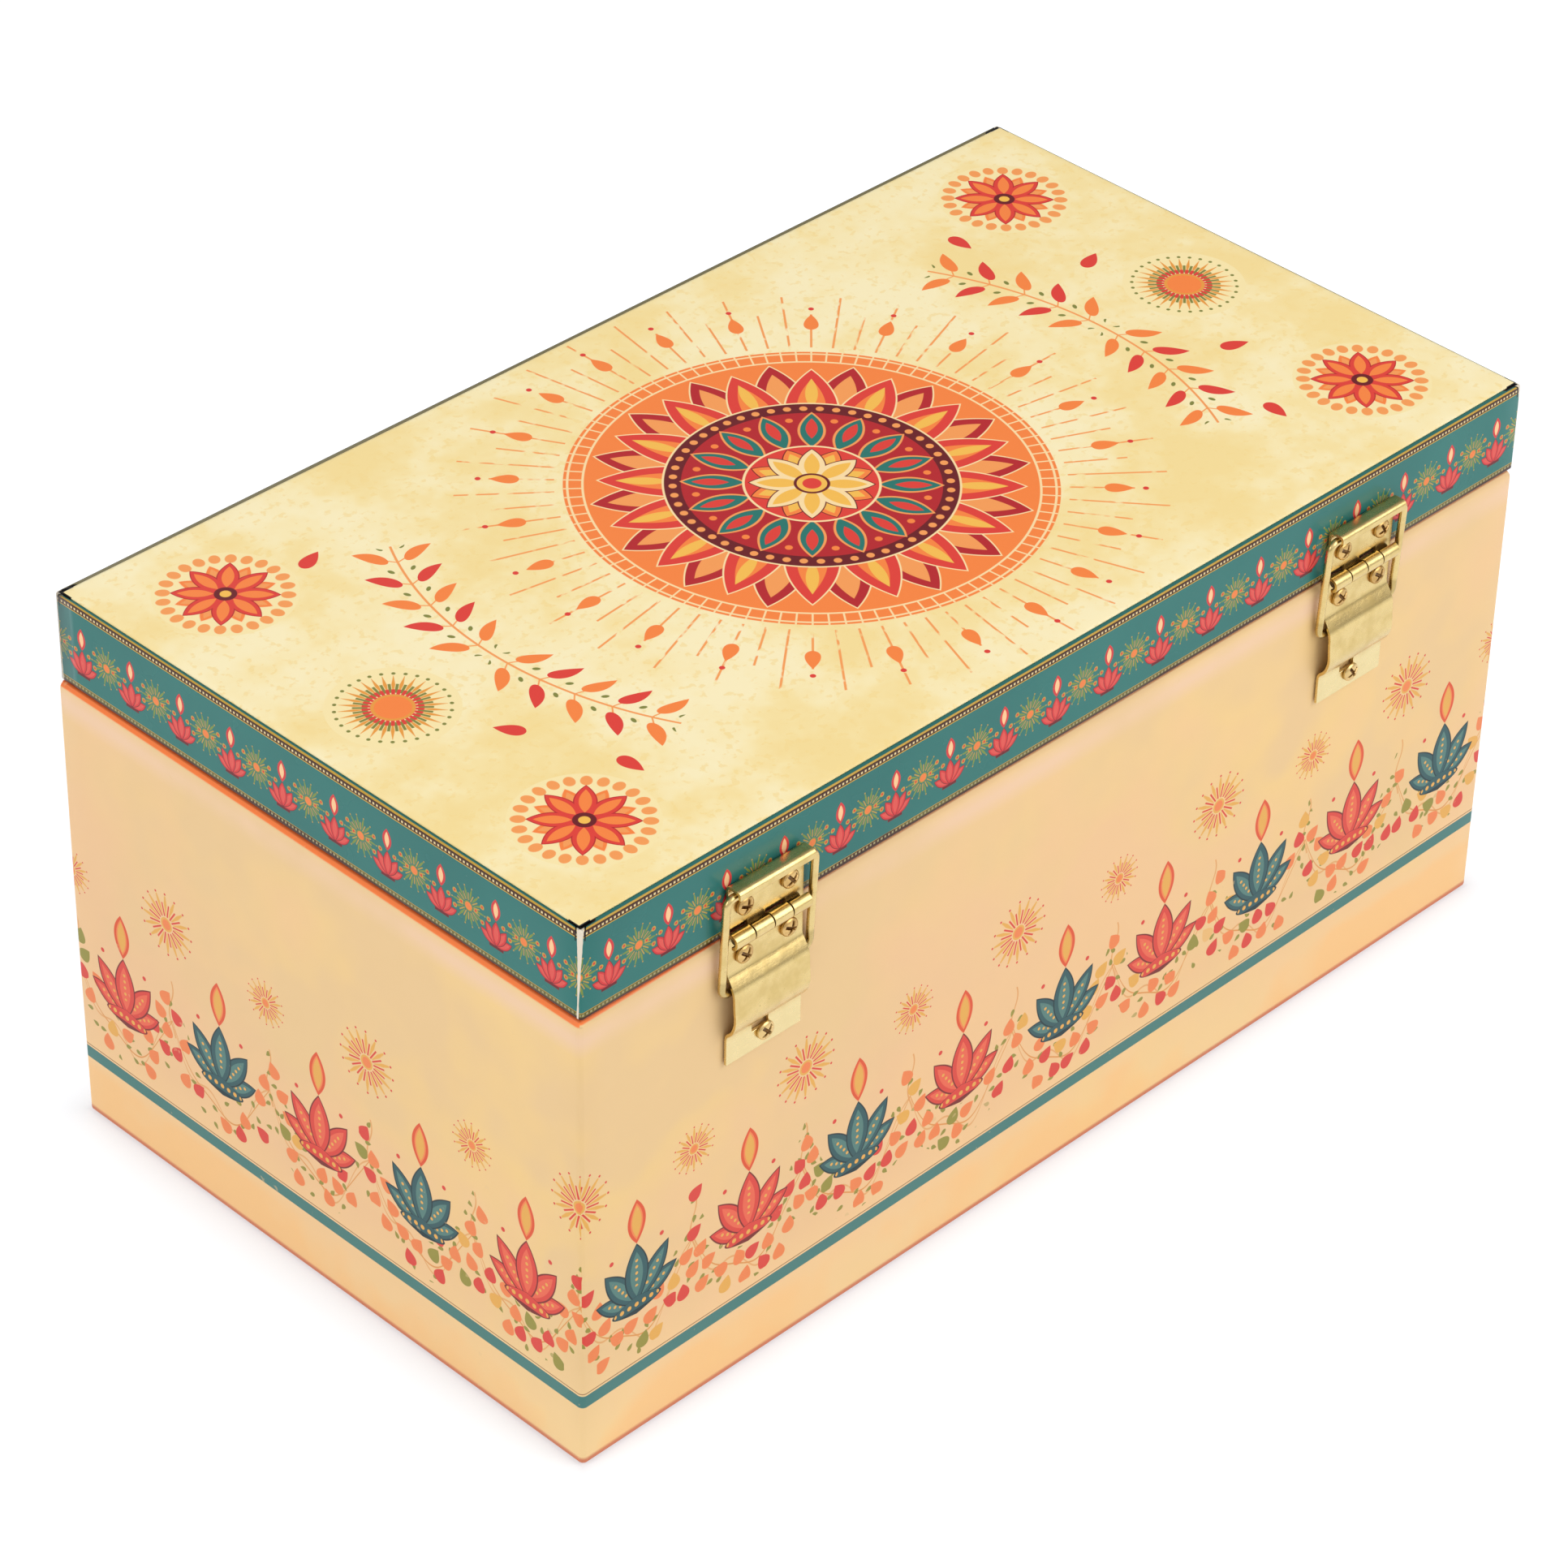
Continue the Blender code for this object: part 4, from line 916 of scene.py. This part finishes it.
def screwPiece(name, node, body, x, up, spin, material):
    # turned round its axis: radius and height run over the dome, under the head and down the shank;
    # the cross is sunk in either arm, deepest at the middle
    screw = {
        "head": 2.35, "dome": 1.3, "edge": 0.35, "shank": 1.05, "shankEnd": -4.0, "tip": (0.02, -5.2),
        "arm": 1.7, "slot": 0.36, "deep": 0.95, "rings": 41, "around": 96,
    }
    rings = np.linspace(0.0, 1.0, screw["rings"])[1:] * math.pi / 2
    tail = [(screw["head"], 0.0), (screw["shank"], 0.0), (screw["shank"], screw["shankEnd"]), screw["tip"]]
    tailRadius, tailHeight = np.transpose(tail)
    dome = screw["edge"] + (screw["dome"] - screw["edge"]) * np.cos(rings)
    radius = np.concatenate([[screw["tip"][0]], screw["head"] * np.sin(rings), tailRadius])[:, None]
    height = np.concatenate([[screw["dome"]], dome, tailHeight])[:, None]
    angles = np.linspace(0, 2 * math.pi, screw["around"], endpoint=False)[None]
    across, along = radius * np.cos(angles), radius * np.sin(angles)

    def arm(a, b):
        inWidth = np.clip((screw["slot"] - np.abs(a)) / 0.12 + 0.5, 0, 1)
        return inWidth * np.clip((screw["arm"] - np.abs(b)) / 0.2 + 0.5, 0, 1)

    inner = np.clip(1 - 0.45 * (np.hypot(across, along) / screw["arm"]), 0, 1)
    sink = np.maximum(arm(across, along), arm(along, across)) * screw["deep"] * inner * (height > 0.1)
    turn = math.radians(spin)
    right = across * math.cos(turn) - along * math.sin(turn)
    above = across * math.sin(turn) + along * math.cos(turn)
    out = hinge["back"] + hinge["screwSeat"] + (height - sink)
    points = np.stack([x + right, out, hinge["axis"] + up + above], axis=2)
    piece = cappedPiece(name, points, body, node, "hinge_metal", material)
    # how deep each point sits in the cross, for the painted shade there
    sunk = piece.data.attributes.new("sunk", "FLOAT", "POINT")
    sunk.data.foreach_set("value", np.clip(sink / screw["deep"] * 1.6, 0, 1).ravel().astype(np.float32))


def screwPieces(side, material):
    places = [
        ("lid", "outer", 6.7, 7.35, 20), ("lid", "inner", -6.7, 7.35, 52),
        ("case", "outer", 6.7, -5.55, 38), ("case", "inner", -6.7, -5.55, 24),
        ("case", "tab", 0.0, -30.05, 47),
    ]
    for body, where, aside, up, spin in places:
        name = f"{body}Screw{side.title()}{where.title()}"
        spin += 13 if side == "left" else 0
        x = hinge["places"][side] + aside
        screwPiece(name, f"{body}_screw_{side}_{where}", body, x, up, spin, material)


# Floor, light and camera

def addFloor():
    look = {
        "reach": 6.0, "white": (0.93, 0.93, 0.93, 1.0), "seenWhite": (0.42, 0.42, 0.42, 1.0),
        "nearGlow": (0.51, 0.51, 0.52, 1.0), "farGlow": (0.7, 0.73, 0.77, 1.0), "none": (0.0, 0.0, 0.0, 1.0),
        "shade": 13.0,  # mm round the box
    }
    mesh = bpy.data.meshes.new("floor")
    corners = np.array([(-1, -1, 0), (1, -1, 0), (1, 1, 0), (-1, 1, 0)]) * look["reach"]
    mesh.from_pydata(corners.tolist(), [], [(0, 1, 2, 3)])
    material, start = newMaterial("whiteFloor", 0.9, glow=1.0)
    seen = start.node("ShaderNodeLightPath", {}, {}, "Is Camera Ray")
    seen = seen.most(seen.other("Is Glossy Ray"))
    white = flatColor(start, look["white"])
    feed(material, "Base Color", white.paint(look["seenWhite"], seen))
    # to the camera it glows a little, less beside the box, so that it is white but for a soft shade there
    x, y = position(start)[1:3]
    clear = away((abs(x) - box["length"] / 2).most(0.0), (abs(y) - box["depth"] / 2).most(0.0))
    distance = (clear * (1 / look["shade"])).least(1.0).math("SQRT")
    glow = flatColor(start, look["nearGlow"]).paint(look["farGlow"], distance)
    feed(material, "Emission Color", glow.paint(look["none"], 1.0 - seen))
    mesh.materials.append(material)
    newObject("floor", mesh)


def setUp(name, data, right, up, back, place):  # an object with its axes along right, up and back
    world = np.eye(4)
    world[:3] = np.stack([right, up, back, place], axis=1)
    made = newObject(name, data)
    made.matrix_world = Matrix(world.tolist())
    return made


def addLight(name, place, size, power):
    light = bpy.data.lights.new(name, "AREA")
    light.shape = "DISK"
    light.size = size
    light.energy = power
    aim = (0.0, 0.0, 0.1)
    back = np.array(place) - aim
    back = back / np.linalg.norm(back)
    right = np.cross([0.0, 0.0, 1.0], back)
    right /= np.linalg.norm(right)
    setUp(name, light, right, np.cross(back, right), back, place)


def addWorld(level):
    world = bpy.data.worlds.new("studio")
    bpy.context.scene.world = world
    world.use_nodes = True
    tree = world.node_tree
    start = Wire(tree)
    white = (1.0, 1.0, 1.0, 1.0)
    lit = tree.nodes["Background"]
    lit.inputs["Color"].default_value = white
    lit.inputs["Strength"].default_value = level
    path = start.node("ShaderNodeLightPath", {}, {}, "Is Camera Ray")
    mirrored = path.other("Is Glossy Ray")
    seen = path.most(mirrored).most(path.other("Is Transmission Ray"))
    direction = start.node("ShaderNodeTexCoord", {}, {}, "Generated")
    along = start.node("ShaderNodeSeparateXYZ", {}, {0: direction})
    # in metal the room is darker near the floor's edge and white above, but for the dark side before the box
    room = along.other("Z").scaled(1.1, 0.42).least(1.0).most(0.35)
    room *= along.other("Y").over(0.25, 0.5).scaled(0.6, 0.4)
    strength = mirrored * (room - 1.0) + 1.0
    shown = start.node("ShaderNodeBackground", {}, {"Color": white, "Strength": strength})
    mixed = start.node("ShaderNodeMixShader", {}, {0: seen, 1: Wire(tree, lit.outputs[0]), 2: shown})
    tree.links.new(mixed.socket, tree.nodes["World Output"].inputs["Surface"])


def addCamera():
    view = {  # fitted to the box's corners in the photograph
        "right": (-0.70790769, 0.70612205, 0.01607346),
        "down": (0.40876576, 0.42814593, -0.80597867),
        "forward": (-0.5760011, -0.56398822, -0.59172631),
        "place": (754.484, 732.466, 835.386),
        "lens": 125.72,
    }
    data = bpy.data.cameras.new("photoCamera")
    data.lens = view["lens"]
    data.sensor_width = 36.0
    data.clip_start = 0.05
    data.clip_end = 50.0
    up, back, place = -np.array(view["down"]), -np.array(view["forward"]), np.array(view["place"]) * mm
    bpy.context.scene.camera = setUp("photoCamera", data, view["right"], up, back, place)


def dress(names, material):
    for name in names:
        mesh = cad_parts[name].data
        mesh.materials.clear()
        mesh.materials.append(material)


def main():
    addCamera()
    addFloor()
    addWorld(0.59)
    addLight("key", (-0.62, 1.35, 1.2), 1.7, 15.0)
    addLight("fill", (2.2, -0.3, 1.4), 1.5, 20.0)
    addLight("front", (-0.5, -1.9, 1.0), 1.5, 5.0)
    print("camera, floor and light made")
    board = fibreboard()
    metal = brass(
        "paleBrassPlate", 0.22, plate=(224, 198, 136), deep=(206, 178, 112), pale=(234, 216, 164),
        spot=(146, 124, 74), sunk=(120, 96, 56),
    )
    screwMetal = brass(
        "brownerBrassScrew", 0.24, plate=(220, 182, 118), deep=(184, 144, 82), pale=(226, 196, 136),
        spot=(110, 80, 44), sunk=(112, 80, 44),
    )
    lining = plainPaper("orangeLining", ink(232, 122, 70), ink(214, 100, 54))
    card = plainPaper("partitionCard", ink(226, 214, 190), ink(202, 186, 156))
    sides = "front", "back", "left", "right"
    walls = [f"{owner}_{side}_wall" for owner in ("case", "lid") for side in sides]
    dress([*walls, "base_board", "lid_board"], board)
    dress(["floor_lining", "lid_lining", "base_sheet"], lining)
    dress(["partition_long", "partition_cross_1", "partition_cross_2", "partition_cross_3"], card)
    dress(["hinge_pin_right", "hinge_pin_left"], steel())
    print("inner pieces dressed")
    caseWrapPiece(bodyPaper())
    bandPiece(bandPaper())
    topSheetPiece(topPaper())
    print("printed papers made")
    for side in hinge["places"]:
        caseLeafPiece(side, metal)
        lidLeafPiece(side, metal)
        bailPiece(side, metal)
        screwPieces(side, screwMetal)
    print("hinges made")
    bpy.context.scene.view_settings.view_transform = "Standard"


main()
